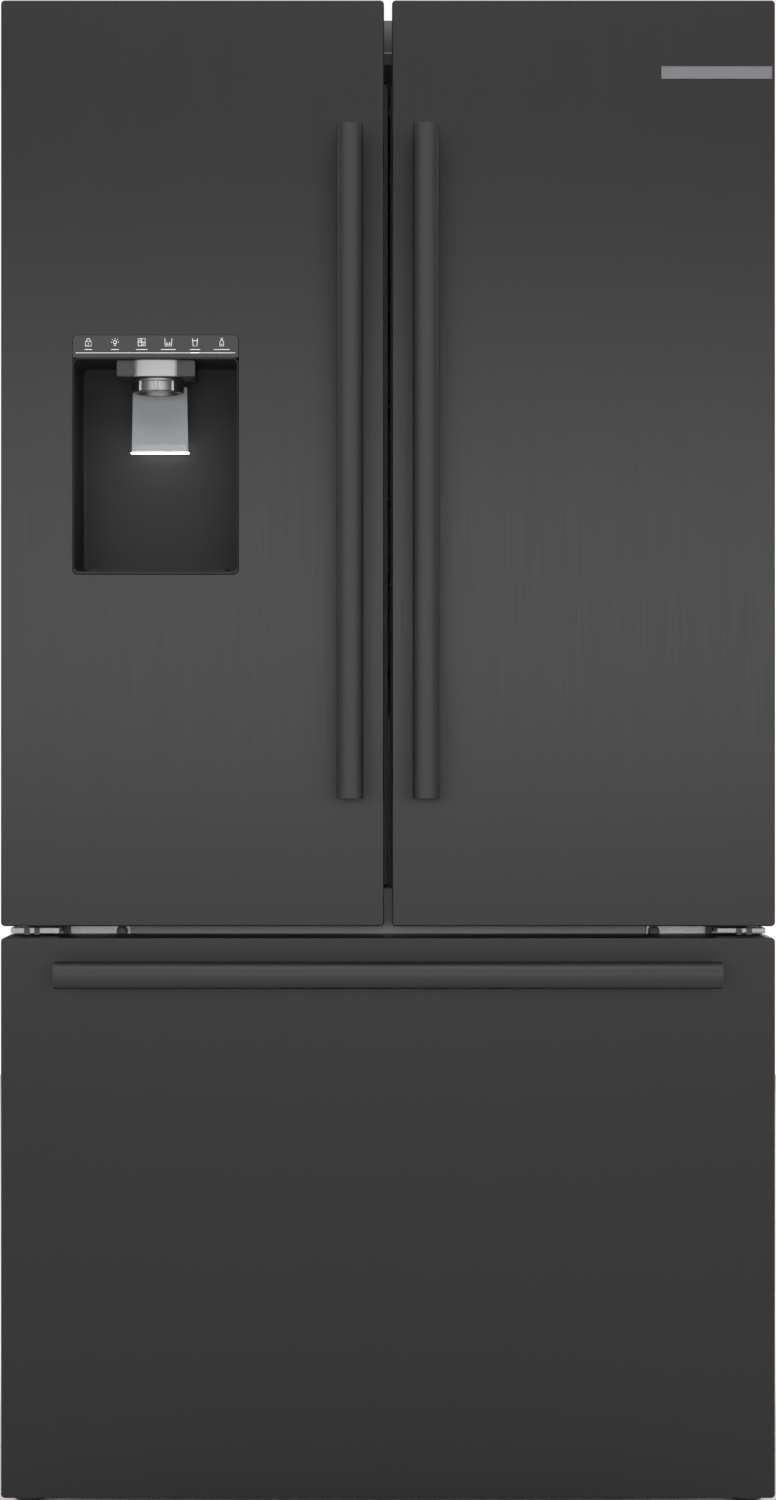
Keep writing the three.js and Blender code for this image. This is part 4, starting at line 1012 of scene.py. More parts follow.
    def stop_plate(self) -> None:
        """The steel stop plate screwed under the door, behind the hinge pin."""
        skin = self.skin
        outer = abs(self.side.outer(skin.x))
        width = ordered(*(self.side.value * (outer - reach) for reach in self.plate_reach))
        depth = (skin.y[0] + self.plate_depth[0], skin.y[0] + self.plate_depth[1])
        draft = MeshDraft()
        draft.slab(
            Plane.PLAN, width, depth, (skin.z[0] - self.plate_sheet, skin.z[0]), corner=5 * MM, edge=0.4 * MM
        )
        draft.piece(f"{self.side.word}_door_stop_plate", Look.BRIGHT_ZINC, self.body)

    def build(self) -> None:
        """Builds the door."""
        skin = FormedFront(f"{self.body}_skin", self.body).build()
        panel = self.liner()
        for piece in (skin, panel):
            carve(piece, self.hinge_recess())
            if self.side is Side.LEFT:
                carve(piece, self.dispenser_hole())
        if self.side is Side.LEFT:
            self.niche_cover()
        lip = self.seal_lip if self.side is Side.RIGHT else 0.0
        DoorSeal(f"{self.side.word}_gasket", self.body, lip=lip).build()
        BarHandle(f"{self.side.word}_handle", self.body).build()
        self.stop_plate()


# ---- Dispenser ---------------------------------------------------------------------------


class Mark(Enum):
    """The six pictures on the control panel, as strokes measured in half the height of a mark."""

    LOCK = (
        [(-0.7, -0.9), (0.7, -0.9), (0.7, 0.15), (-0.7, 0.15), (-0.7, -0.9)],
        bent((0.0, 0.15), 0.45, 0.75, math.pi, 8),
        [(0.0, -0.55), (0.0, -0.2)],
    )
    LAMP = (
        bent((0.0, 0.0), 0.4, 0.4, 2 * math.pi, 12),
        [(-0.3, -0.75), (0.3, -0.75)],
        [(-0.95, 0.0), (-0.7, 0.0)],
        [(0.95, 0.0), (0.7, 0.0)],
        [(0.0, 0.75), (0.0, 1.0)],
        [(-0.55, 0.55), (-0.7, 0.7)],
        [(0.55, 0.55), (0.7, 0.7)],
    )
    CUBES = (
        [(-0.85, -0.85), (0.85, -0.85), (0.85, 0.85), (-0.85, 0.85), (-0.85, -0.85)],
        [(0.0, -0.85), (0.0, 0.85)],
        [(-0.85, 0.0), (0.85, 0.0)],
        [(-0.6, 0.3), (-0.25, 0.6)],
        [(0.25, -0.6), (0.6, -0.3)],
    )
    CRUSHED_ICE = (
        [(-0.85, 0.95), (-0.75, -0.9), (0.75, -0.9), (0.85, 0.95)],
        [(-0.5, -0.6), (-0.1, -0.5), (-0.3, 0.0), (-0.5, -0.6)],
        [(0.15, -0.6), (0.5, -0.5), (0.3, 0.1), (0.15, -0.6)],
    )
    GLASS = (
        [(-0.6, 0.9), (-0.45, -0.9), (0.45, -0.9), (0.6, 0.9)],
        [(-0.5, 0.35), (0.5, 0.35)],
    )
    BOTTLE = (
        [
            (-0.15, 1.0), (-0.15, 0.5), (-0.45, 0.0), (-0.45, -0.9), (0.45, -0.9), (0.45, 0.0), (0.15, 0.5),
            (0.15, 1.0),
        ],
        [(-0.2, -0.5), (0.2, -0.5)],
    )


@dataclass
class ControlPanel:
    """Gloss panel over the niche, with a light line, six marks and a lamp under the chosen one."""

    body: str
    corner: float
    edge: float = 1.1 * MM
    line_rise: Span = (5.2 * MM, 5.9 * MM)  # the light line above the panel's lower edge
    line_end: float = 4 * MM  # from the line to the panel's sides
    line_proud: float = 0.25 * MM
    first: float = 18.8 * MM  # panel's left side to the first mark
    pitch: float = 31.2 * MM
    rise: float = 18 * MM  # marks above the panel's lower edge
    size: float = 4.9 * MM  # half the height of a mark
    ink: float = 0.42 * MM  # half the width of a stroke
    ink_proud: float = 0.05 * MM
    dash_drop: float = 1.75  # from mark to dash, in half heights
    dashes: tuple[float, ...] = (8.5, 9.0, 13.5, 17.5, 12.0, 18.5)  # lengths in millimetres
    chosen: int = 4  # the mark whose lamp is lit, counted from nought
    lamp_half: float = 5.2 * MM
    lamp_proud: float = 0.45 * MM

    def strip(self, name: str, look: Look, width: Span, proud: float) -> None:
        """Adds a thin level strip at the height of the light line.

        Args:
            name: The strip's name.
            look: Its finish.
            width: Its span across the panel.
            proud: How far it stands out of the panel.
        """
        box = Box.of("dispenser_panel")
        height = (box.z[0] + self.line_rise[0], box.z[0] + self.line_rise[1])
        draft = MeshDraft()
        depth = (box.y[0] - proud, box.y[0] + 1 * MM)
        draft.slab(Plane.FRONT, width, height, depth, corner=0.3 * MM, edge=0.1 * MM)
        draft.piece(name, look, self.body)

    def marks(self) -> None:
        """Draws each mark over its short dash."""
        box = Box.of("dispenser_panel")
        face, z = box.y[0] - self.ink_proud, box.z[0] + self.rise
        draft = MeshDraft()
        for index, (mark, length) in enumerate(zip(Mark, self.dashes)):
            x = box.x[0] + self.first + index * self.pitch
            for stroke in mark.value:
                path = [Vector((x + a * self.size, face, z + b * self.size)) for a, b in stroke]
                draft.tube(path, self.ink, 6)
            low, half = z - self.dash_drop * self.size, length / 2 * MM
            draft.tube([Vector((x - half, face, low)), Vector((x + half, face, low))], self.ink, 6)
        # Pale ink with a painted glow.
        draft.piece("dispenser_marks", Look.SCREEN_PRINT, self.body)

    def build(self) -> None:
        """Builds the panel."""
        box = Box.of("dispenser_panel")
        draft = MeshDraft()
        stations = []
        for inset, depth in rolled(box.y, self.edge, 0.4 * MM):
            height = (box.z[0] + inset * 0.3, box.z[1] - inset)
            outline = rounded_rect(grown(box.x, -inset), height, self.corner - inset, lower=TINY)
            stations.append((outline, depth))
        draft.loft(Plane.FRONT, stations)
        draft.piece("dispenser_control_panel", Look.GLOSS_ABS, self.body, ["dispenser_panel"])
        # The light line is the same pale ink with a painted glow.
        self.strip("dispenser_light_line", Look.SCREEN_PRINT, grown(box.x, -self.line_end), self.line_proud)
        chosen = around(box.x[0] + self.first + self.chosen * self.pitch, self.lamp_half)
        self.strip("dispenser_chosen_lamp", Look.INDICATOR_LENS, chosen, self.lamp_proud)
        self.marks()


@dataclass
class Outlet:
    """Dark block under the panel with a bright bowed face and a ring that ice and water fall through."""

    body: str
    top: float  # where the block ends, under the niche's roof
    block_rise: float = 15.8 * MM  # the block's foot above the ring's
    block_ahead: float = 8 * MM
    collar: float = 31.5 * MM
    ring: float = 30.5 * MM
    bore: float = 25 * MM
    fin: float = 1.6 * MM  # half its width
    fin_place: float = 19 * MM  # from the middle to the outer fins
    face_half: float = 27 * MM
    face_bow: float = 4 * MM

    def block(self, box: Box, foot: float) -> None:
        """Adds the block.

        Args:
            box: The outlet's box.
            foot: Height of the block's foot.
        """
        draft = MeshDraft()
        depth = (box.y[0] - self.block_ahead, box.y[1])
        draft.slab(Plane.FRONT, box.x, (foot, self.top), depth, corner=3 * MM, edge=1.5 * MM)
        draft.piece("dispenser_outlet_block", Look.BLACK_ABS, self.body, ["dispenser_nozzle"])

    def ring_and_fins(self, box: Box, foot: float) -> None:
        """Adds the ring and its three fins.

        Args:
            box: The outlet's box.
            foot: Height of the block's foot.
        """
        centre = (middle(box.x), middle(box.y))
        low, collar, outer, bore = box.z[0], self.collar, self.ring, self.bore
        profile = [
            (collar - 1 * MM, foot + 0.5 * MM), (collar, foot - 0.6 * MM), (collar, foot - 3 * MM),
            (collar - 1 * MM, foot - 4 * MM), (outer, foot - 4.6 * MM), (outer, low + 1.5 * MM),
            (outer - 1.4 * MM, low), (bore + 1.2 * MM, low), (bore, low + 1.6 * MM),
            (bore - 3 * MM, foot + 0.5 * MM),
        ]
        draft = MeshDraft()
        draft.turned(Plane.PLAN, centre, profile, 48, closed=True)
        for x in (-self.fin_place, 0, self.fin_place):
            depth = (centre[1] - math.sqrt(outer**2 - x**2) - 1.2 * MM, centre[1] - bore * 0.5)
            height = (low + 1 * MM, foot - 3 * MM)
            width = around(centre[0] + x, self.fin)
            draft.slab(Plane.FRONT, width, height, depth, corner=0.6 * MM, edge=0.4 * MM)
        draft.piece("dispenser_outlet_ring", Look.SATIN_STAINLESS, self.body)

    def face(self, box: Box, foot: float) -> None:
        """Adds the bowed bright face.

        Args:
            box: The outlet's box.
            foot: Height of the block's foot.
        """
        x, front, half = middle(box.x), box.y[0] - self.block_ahead, self.face_half
        shares = [-1 + step / 8 for step in range(17)]
        outline = [(x + t * half, front + 1 * MM - self.face_bow * (1 - t * t) ** 0.5) for t in shares]
        outline += [(x + half, front + 4 * MM), (x - half, front + 4 * MM)]
        inner = [(x + (a - x) * 0.985, b + 0.4 * MM) for a, b in outline]
        draft = MeshDraft()
        draft.loft(Plane.PLAN, [
            (inner, foot + 0.4 * MM), (outline, foot + 1 * MM),
            (outline, self.top - 1 * MM), (inner, self.top - 0.4 * MM),
        ])
        draft.piece("dispenser_outlet_face", Look.SATIN_STAINLESS, self.body)

    def build(self) -> None:
        """Builds the outlet."""
        box = Box.of("dispenser_nozzle")
        foot = box.z[0] + self.block_rise
        self.block(box, foot)
        self.ring_and_fins(box, foot)
        self.face(box, foot)


@dataclass
class Paddle:
    """Frosted push blade on a round barrel, with a lamp lens along its foot and a strip behind it."""

    node: str = "dispenser_paddle"
    foot_rise: float = 6 * MM  # the blade's foot above the part's lowest point
    blade_half: float = 2.2 * MM  # half the blade's thickness
    blade_rise: float = 2.6 * MM  # the blade above the foot
    blade_edge: float = 0.9 * MM
    blade_corner: float = 1.6 * MM
    taper: float = 0.045 / (80 * MM)  # how fast the blade narrows with height
    barrel_drop: float = 4 * MM
    lens_half: float = 2.6 * MM  # half the lens's depth
    lens_rise: Span = (0.6 * MM, 2.1 * MM)
    back_rise: Span = (4 * MM, 12 * MM)  # the lens strip behind the blade
    back_depth: Span = (2.4 * MM, 3.4 * MM)

    def build(self) -> None:
        """Builds the paddle."""
        box = Box.of(self.node)
        x, y = middle(box.x), middle(box.y)
        half = (box.x[1] - box.x[0]) / 2 + 1 * MM
        foot, axis = box.z[0] + self.foot_rise, box.z[1] - self.barrel_drop
        stations = []
        for inset, depth in rolled(around(y, self.blade_half), self.blade_edge, self.blade_edge):
            height = (foot + self.blade_rise + inset, axis)
            outline = rounded_rect(around(x, half - inset), height, self.blade_corner - inset)
            stations.append(([(x + (a - x) * (1 - self.taper * (b - foot)), b) for a, b in outline], depth))
        draft = MeshDraft()
        draft.loft(Plane.FRONT, stations)
        barrel = [(2.4, -29), (3.6, -28), (3.6, 28), (2.4, 29)]
        draft.turned(Plane.SIDE, (y, axis), [(radius * MM, x + place * MM) for radius, place in barrel], 20)
        draft.piece("dispenser_paddle_blade", Look.FROSTED_POLYCARBONATE, self.node, [self.node])
        front_z, back_z = (tuple(foot + rise for rise in span) for span in (self.lens_rise, self.back_rise))
        back_y = (y + self.back_depth[0], y + self.back_depth[1])
        lens = MeshDraft()
        lens.slab(
            Plane.FRONT, around(x, half + 0.8 * MM), front_z, around(y, self.lens_half), corner=0.7 * MM,
            edge=0.4 * MM,
        )
        lens.slab(Plane.FRONT, around(x, half - 3 * MM), back_z, back_y, corner=0.7 * MM, edge=0.3 * MM)
        lens.piece("dispenser_paddle_lens", Look.LAMP_LENS, self.node)


@dataclass
class Dispenser:
    """Ice and water dispenser: niche, control panel, outlet, paddle and tray."""

    body: str = "left_door"
    bezel: float = 2.2 * MM
    wall: float = 1 * MM
    floor: float = 4 * MM
    corner: float = 6 * MM
    fillet: float = 5 * MM
    lip: float = 1.2 * MM  # round of the tub's rim
    tray_rise: Span = (-0.2 * MM, 2.6 * MM)  # tray above the floor of its own box
    tray_corner: float = 8 * MM
    tray_rim: float = 6 * MM
    tray_bars: int = 15
    bar_half: float = 1.4 * MM  # half a bar's width

    def niche(self) -> None:
        """The moulded tub with its soft inner corners."""
        box = Box.of("dispenser_housing")
        front, rear = box.y
        lip = self.lip
        inner_x = grown(box.x, -self.bezel)
        inner_z = (box.z[0] + self.floor, box.z[1] - self.wall)
        stations = [
            (rounded_rect(box.x, box.z, self.corner), rear),
            (rounded_rect(box.x, box.z, self.corner), front + lip),
            (rounded_rect(grown(box.x, -lip / 3), grown(box.z, -lip / 3), self.corner), front + lip / 3),
            (rounded_rect(grown(box.x, -lip), grown(box.z, -lip), self.corner - lip), front),
            (rounded_rect(grown(inner_x, lip), grown(inner_z, lip), self.corner), front),
            (rounded_rect(grown(inner_x, lip / 3), grown(inner_z, lip / 3), self.corner), front + lip / 3),
            (rounded_rect(inner_x, inner_z, self.corner - lip), front + lip),
        ]
        stations += filleted(inner_x, inner_z, rear - 3 * self.wall, self.fillet, self.corner + self.fillet)
        draft = MeshDraft()
        draft.loft(Plane.FRONT, stations)
        # Darker ABS: painted shade inside the niche.
        draft.piece("dispenser_niche", Look.NICHE_ABS, self.body, ["dispenser_housing"])

    def tray(self) -> None:
        """The thin slotted tray on the niche's floor."""
        box = Box.of("drip_tray")
        low, high = (box.z[0] + rise for rise in self.tray_rise)
        rim, soft = self.tray_rim, 0.8 * MM
        section = [
            (0.0, low), (0.0, high - soft), (soft, high), (rim - 1 * MM, high), (rim, high - soft),
            (rim, low),
        ]
        draft = MeshDraft()
        draft.ring(Plane.PLAN, box.x, box.y, self.tray_corner, section)
        room = grown(box.y, -self.tray_corner)
        for step in range(self.tray_bars):
            y = room[0] + (step + 0.5) / self.tray_bars * (room[1] - room[0])
            draft.slab(
                Plane.PLAN, grown(box.x, 1 * MM - rim), around(y, self.bar_half), (low, high - 0.6 * MM),
                corner=0.8 * MM, edge=0.5 * MM,
            )
        # Darker ABS: painted shade on the niche's floor.
        draft.piece("dispenser_drip_grille", Look.NICHE_ABS, self.body, ["drip_tray"])

    def build(self) -> None:
        """Builds the dispenser."""
        self.niche()
        ControlPanel(self.body, self.corner).build()
        Outlet(self.body, Box.of("dispenser_housing").z[1] - self.wall).build()
        Paddle().build()
        self.tray()


# ---- Open bins, crispers and baskets -----------------------------------------------------


@dataclass
class OpenBin:
    """Moulded bin, open on top, with leaning sides, a rolled rim and a sloping lip."""

    node: str
    body: str
    look: Look = Look.CLEAR_POLYSTYRENE
    wall: float = 2.6 * MM
    corner: float = 14 * MM
    lean: float = 3 * MM
    rim: float = 3 * MM
    low_share: float = 1.0  # height of the rim behind the lip, as a share of the whole height

    def build(self, box: Box | None = None) -> bpy.types.Object:
        """Builds the bin.

        Args:
            box: The room that it fills, or None for the node's own.

        Returns:
            The bin.
        """
        box = box or Box.of(self.node)
        bottom, top = box.z
        height = top - bottom
        near, far = box.y

        def rim_height(_: float, y: float) -> float:
            """Height of the rim at a depth: low against the door, high at the lip."""
            share = max(0.0, min(1.0, (y - near) / (far - near) * 1.6 - 0.45))
            ease = share * share * (3 - 2 * share)
            return bottom + height * (self.low_share + (1 - self.low_share) * ease)

        def outline(inset: float) -> Outline:
            """The bin's plan outline, drawn in by an inset."""
            return rounded_rect(grown(box.x, -inset), grown(box.y, -inset), self.corner - inset / 2)

        foot = self.rim + self.lean
        stations = [
            (outline(foot + 5 * MM), bottom), (outline(foot + 1.5 * MM), bottom + 1.2 * MM),
            (outline(foot), bottom + 5 * MM), (outline(self.rim), lambda a, b: rim_height(a, b) - 7 * MM),
            (outline(0.4 * MM), lambda a, b: rim_height(a, b) - 5.5 * MM),
            (outline(0.0), lambda a, b: rim_height(a, b) - 2 * MM),
            (outline(1.0 * MM), lambda a, b: rim_height(a, b)),
            (outline(self.rim + self.wall - 0.6 * MM), lambda a, b: rim_height(a, b)),
            (outline(self.rim + self.wall), lambda a, b: rim_height(a, b) - 1.4 * MM),
            (outline(foot + self.wall), bottom + 7 * MM),
            (outline(foot + self.wall + 4 * MM), bottom + self.wall),
        ]
        draft = MeshDraft()
        draft.loft(Plane.PLAN, stations)
        return draft.piece(f"{self.node}_moulding", self.look, self.body, [self.node])


@dataclass
class Crisper:
    """Vegetable drawer with a clear front, a finger lip and a humidity slide."""

    side: Side
    lip: float = 14 * MM  # how far the lip stands out
    front: float = 3.2 * MM
    lip_drop: Span = (22 * MM, 14 * MM)  # lip below the drawer's top
    lip_end: float = 30 * MM
    plate_half: float = 46 * MM  # the plate that the slide moves on
    plate_drop: Span = (52 * MM, 38 * MM)
    knob_half: float = 9 * MM
    knob_aside: float = 12 * MM  # knob left of the middle
    knob_drop: Span = (50 * MM, 40 * MM)

    def build(self) -> None:
        """Builds the drawer, its front and its humidity slide."""
        node = f"{self.side.word}_crisper"
        box = Box.of(node)
        near, top, x = box.y[0], box.z[1], middle(box.x)
        face = near + self.lip
        OpenBin(node, node, corner=18 * MM).build(Box(box.x, (face + 2 * MM, box.y[1]), box.z))
        lip_z, plate_z, knob_z = (
            (top - drop[0], top - drop[1]) for drop in (self.lip_drop, self.plate_drop, self.knob_drop)
        )
        draft = MeshDraft()
        draft.slab(
            Plane.FRONT, box.x, grown(box.z, -1 * MM), (face, face + self.front), corner=10 * MM,
            edge=1.4 * MM,
        )
        draft.slab(
            Plane.FRONT, grown(box.x, -self.lip_end), lip_z, (near + 1 * MM, face + 1 * MM), corner=3 * MM,
            edge=2.4 * MM,
        )
        draft.piece(f"{node}_front", Look.CLEAR_POLYSTYRENE, node)
        slide = MeshDraft()
        slide.slab(
            Plane.FRONT, around(x, self.plate_half), plate_z, (face - 1.6 * MM, face + 1 * MM), corner=7 * MM,
            edge=0.8 * MM,
        )
        knob_x = around(x - self.knob_aside, self.knob_half)
        slide.slab(
            Plane.FRONT, knob_x, knob_z, (face - 4.6 * MM, face - 1 * MM), corner=5 * MM, edge=1 * MM
        )
        slide.piece(f"{node}_humidity_slide", Look.LINER_POLYSTYRENE, node)


# ---- Fridge and freezer rooms ------------------------------------------------------------


@dataclass
class GlassShelf:
    """Half-width shelf: a glass pane in a moulded rim on two steel arms."""

    node: str
    pane: float = 5 * MM
    rim: float = 12 * MM
    arm: float = 3 * MM  # thickness of an arm
    arm_inset: float = 8 * MM

    def build(self) -> None:
        """Builds the shelf."""
        box = Box.of(self.node)
        top = box.z[1] - 5 * MM
        glass = MeshDraft()
        glass.slab(
            Plane.PLAN, grown(box.x, -4 * MM), grown(box.y, -4 * MM), (top - self.pane + 1 * MM, top),
            corner=4 * MM, edge=0.6 * MM,
        )
        glass.piece(f"{self.node}_glass", Look.SHELF_GLASS, "cabinet", [self.node])
        rim = MeshDraft()
        low, high = top - 12 * MM, top + 2 * MM
        section = [
            (0.0, low + 2 * MM), (0.0, high - 1.5 * MM), (1.2 * MM, high), (self.rim - 3 * MM, high),
            (self.rim - 1.5 * MM, top + 0.2 * MM), (self.rim - 1.5 * MM, low + 3 * MM), (4 * MM, low),
            (1.5 * MM, low),
        ]
        rim.ring(Plane.PLAN, box.x, box.y, 8 * MM, section)
        rim.piece(f"{self.node}_rim", Look.LINER_POLYSTYRENE, "cabinet")
        arms = MeshDraft()
        near, far = box.y
        outline = [
            (near + 14 * MM, low + 2 * MM), (near + 18 * MM, low - 2 * MM), (far - 6 * MM, box.z[0]),
            (far, box.z[0] + 4 * MM), (far, low + 2 * MM),
        ]
        for x in (box.x[0] + self.arm_inset, box.x[1] - self.arm_inset - self.arm):
            arms.loft(Plane.SIDE, [(outline, x), (outline, x + self.arm)])
        arms.piece(f"{self.node}_arms", Look.BRIGHT_ZINC, "cabinet")


@dataclass
class AirDuct:
    """The air duct with its outlet slots and the two slotted shelf tracks beside it."""

    outlets: int = 6
    first_outlet: float = 70 * MM
    outlet_pitch: float = 118 * MM
    slot_pitch: float = 9 * MM
    slot_half: Span = (22 * MM, 2 * MM)  # half a slot's width and height
    track_place: float = 84 * MM  # from the middle to each track
    track_edge: float = 7 * MM  # from a track's middle to its flanges
    track_depth: float = 3 * MM
    first_rung: float = 20 * MM
    rung_pitch: float = 18 * MM
    rung_half: Span = (7.5 * MM, 3 * MM)  # half a rung's width and height

    def slots(self, box: Box) -> None:
        """Adds the outlet slots, three to an outlet.

        Args:
            box: The duct's box.
        """
        draft = MeshDraft()
        across, up = self.slot_half
        depth = (box.y[0] - 0.6 * MM, box.y[0] + 1 * MM)
        for step in range(self.outlets):
            z = box.z[0] + self.first_outlet + step * self.outlet_pitch
            for rise in (-self.slot_pitch, 0, self.slot_pitch):
                height = around(z + rise, up)
                draft.slab(Plane.FRONT, around(0, across), height, depth, corner=2 * MM, edge=0.3 * MM)
        draft.piece("air_duct_outlets", Look.GREY_ABS, "cabinet")

    def tracks(self, box: Box) -> None:
        """Adds the two shelf tracks, each two flanges with rungs between them.

        Args:
            box: The duct's box.
        """
        draft = MeshDraft()
        depth = (box.y[1] - self.track_depth, box.y[1])
        height = grown(box.z, -12 * MM)
        across, up = self.rung_half
        rungs = int((box.z[1] - box.z[0] - 30 * MM) / self.rung_pitch)
        for x in (-self.track_place, self.track_place):
            for edge in (-self.track_edge, self.track_edge):
                draft.slab(Plane.FRONT, around(x + edge, 1.6 * MM), height, depth, corner=1 * MM)
            for step in range(rungs):
                z = box.z[0] + self.first_rung + step * self.rung_pitch
                draft.slab(
                    Plane.FRONT, around(x, across), around(z, up), (depth[0], depth[1] - 1 * MM),
                    corner=1 * MM, edge=0.3 * MM,
                )
        draft.piece("shelf_tracks", Look.BRIGHT_ZINC, "cabinet")

    def build(self, nodes: dict[str, bpy.types.Object]) -> None:
        """Dresses the duct and adds its slots and tracks.

        Args:
            nodes: The frame's parts by name.
        """
        Dressing("air_duct", Look.LINER_POLYSTYRENE, 3 * MM, 4).apply(nodes)
        box = Box.of("air_duct")
        self.slots(box)
        self.tracks(box)


@dataclass
class FoodRoom:
    """The fridge room: formed liner, shelves, air duct, lamp, crispers and their cover."""

    wall: float = 3 * MM
    corner: float = 24 * MM
    mouth: float = 60 * MM  # over this depth the room's corners go from sharp to round
    ribs: int = 3  # on each side wall
    rib_half: float = 3 * MM
    rib_proud: float = 1.6 * MM
    cover_pane: float = 4 * MM  # glass over the crispers
    cover_frame: float = 11 * MM  # height of its frame
    runner: float = 18 * MM  # width of the side runners under the frame
    lamp_rim: float = 11 * MM

    def liner(self) -> None:
        """The vacuum-formed room with round corners, and the ribs on its side walls."""
        box = Box.of("fridge_liner")
        inner_x, inner_z = grown(box.x, -self.wall), grown(box.z, -self.wall)
        front, back = box.y[0], box.y[1] - self.wall
        stations = [
            (rounded_rect(box.x, box.z, self.corner + self.wall), box.y[1]),
            (rounded_rect(box.x, box.z, self.wall), front),
            (rounded_rect(grown(inner_x, 0.6 * MM), grown(inner_z, 0.6 * MM), self.wall), front),
            (rounded_rect(inner_x, inner_z, self.wall), front + 1 * MM),
            (rounded_rect(inner_x, inner_z, self.corner), front + self.mouth),
        ]
        stations += filleted(inner_x, inner_z, back, self.corner, self.corner)
        draft = MeshDraft()
        draft.loft(Plane.FRONT, stations)
        draft.piece("fridge_room_liner", Look.LINER_POLYSTYRENE, "cabinet", ["fridge_liner"])
        ribs = MeshDraft()
        cover = Box.of("crisper_cover").z[1]
        depth = (front + self.mouth, back - self.mouth)
        for side in Side:
            wall_x = side.value * inner_x[1]
            width = ordered(wall_x, wall_x - side.value * self.rib_proud)
            for step in range(self.ribs):
                z = cover + 60 * MM + step * (inner_z[1] - cover - 90 * MM) / self.ribs
                ribs.slab(Plane.SIDE, depth, around(z, self.rib_half), width, corner=3 * MM)
        ribs.piece("fridge_room_ribs", Look.LINER_POLYSTYRENE, "cabinet")

    def cover(self) -> None:
        """The glass over the crispers with its moulded rim, middle wall and runners."""
        box = Box.of("crisper_cover")
        glass_top = box.z[1] - 0.5 * MM
        draft = MeshDraft()
        draft.slab(
            Plane.PLAN, grown(box.x, -4 * MM), grown(box.y, -6 * MM),
            (glass_top - self.cover_pane, glass_top), corner=3 * MM,
        )
        draft.piece("crisper_cover_glass", Look.SHELF_GLASS, "cabinet", ["crisper_cover"])
        frame = MeshDraft()
        low, high = box.z[1] - self.cover_frame, box.z[1]
        section = [
            (0.0, low), (0.0, high - 1.2 * MM), (1 * MM, high), (9 * MM, high), (10 * MM, high - 1 * MM),
            (10 * MM, low),
        ]
        frame.ring(Plane.PLAN, box.x, box.y, 3 * MM, section)
        under = (box.z[0], low + 2 * MM)
        frame.slab(Plane.SIDE, grown(box.y, -2 * MM), under, around(0, 3.6 * MM), edge=1.4 * MM)
        for side in Side:
            width = ordered(side.value * (box.x[1] - self.runner), side.value * box.x[1])
            frame.slab(Plane.SIDE, grown(box.y, -1 * MM), under, width, edge=2 * MM)
        frame.piece("crisper_cover_frame", Look.LINER_POLYSTYRENE, "cabinet")

    def lamp(self) -> None:
        """The ceiling lamp: an opal cover in a moulded frame."""
        box = Box.of("ceiling_light")
        cover = MeshDraft()
        cover.slab(
            Plane.PLAN, grown(box.x, -8 * MM), grown(box.y, -8 * MM), (box.z[0], box.z[1] - 2 * MM),
            corner=16 * MM, edge=4 * MM, steps=5,
        )
        cover.piece("ceiling_lamp_cover", Look.OPAL_ACRYLIC, "cabinet", ["ceiling_light"])
        frame = MeshDraft()
        rim, top = self.lamp_rim, box.z[1]
        section = [
            (0.0, top), (0.5 * MM, top - 3 * MM), (2 * MM, top - 4 * MM), (rim - 1 * MM, top - 4 * MM),
            (rim, top - 3 * MM), (rim, top),
        ]
        frame.ring(Plane.PLAN, box.x, box.y, 22 * MM, section)
        frame.piece("ceiling_lamp_frame", Look.LINER_POLYSTYRENE, "cabinet")

    def build(self, nodes: dict[str, bpy.types.Object]) -> None:
        """Builds the room and what is in it.

        Args:
            nodes: The frame's parts by name.
        """
        self.liner()
        self.cover()
        AirDuct().build(nodes)
        self.lamp()
        for level in ("upper", "middle"):
            for side in Side:
                GlassShelf(f"shelf_{level}_{side.word}").build()
        for side in Side:
            Crisper(side).build()


@dataclass
class DoorInsides:
    """What hangs inside the fridge doors: four bins and the ice maker."""

    bin_share: float = 0.72  # a bin's height at the door, as a share of its lip's
    lid: float = 8 * MM  # thickness of the ice maker's access door
    latch: Span = (26 * MM, 10 * MM)  # latch from the lid's right side
    latch_half: float = 30 * MM

    def ice_maker(self) -> None:
        """The insulated ice maker case with its access door and latch."""
        box = Box.of("ice_maker_box")
        body = "left_door"
        seam, face = box.y[1] - self.lid, box.y[1]
        case = MeshDraft()
        case.slab(Plane.FRONT, box.x, box.z, (box.y[0], seam - 1 * MM), corner=10 * MM, edge=3 * MM, steps=5)
        case.piece("ice_maker_case", Look.LINER_POLYSTYRENE, body, ["ice_maker_box"])
        lid = MeshDraft()
        lid.slab(
            Plane.FRONT, grown(box.x, -2 * MM), grown(box.z, -2 * MM), (seam, face), corner=12 * MM,
            edge=3 * MM, steps=5,
        )
        lid.piece("ice_maker_lid", Look.LINER_POLYSTYRENE, body)
        width = (box.x[1] - self.latch[0], box.x[1] - self.latch[1])
        latch = MeshDraft()
        latch.slab(
            Plane.FRONT, width, around(middle(box.z), self.latch_half), (face - 1 * MM, face + 5 * MM),
            corner=6 * MM, edge=2 * MM,
        )
        latch.piece("ice_maker_latch", Look.GREY_ABS, body)

    def build(self) -> None:
        """Builds the bins and the ice maker."""
        OpenBin("left_door_bin", "left_door", low_share=self.bin_share).build()
        for level in ("lower", "middle", "upper"):
            OpenBin(f"right_{level}_bin", "right_door", low_share=self.bin_share).build()
        self.ice_maker()


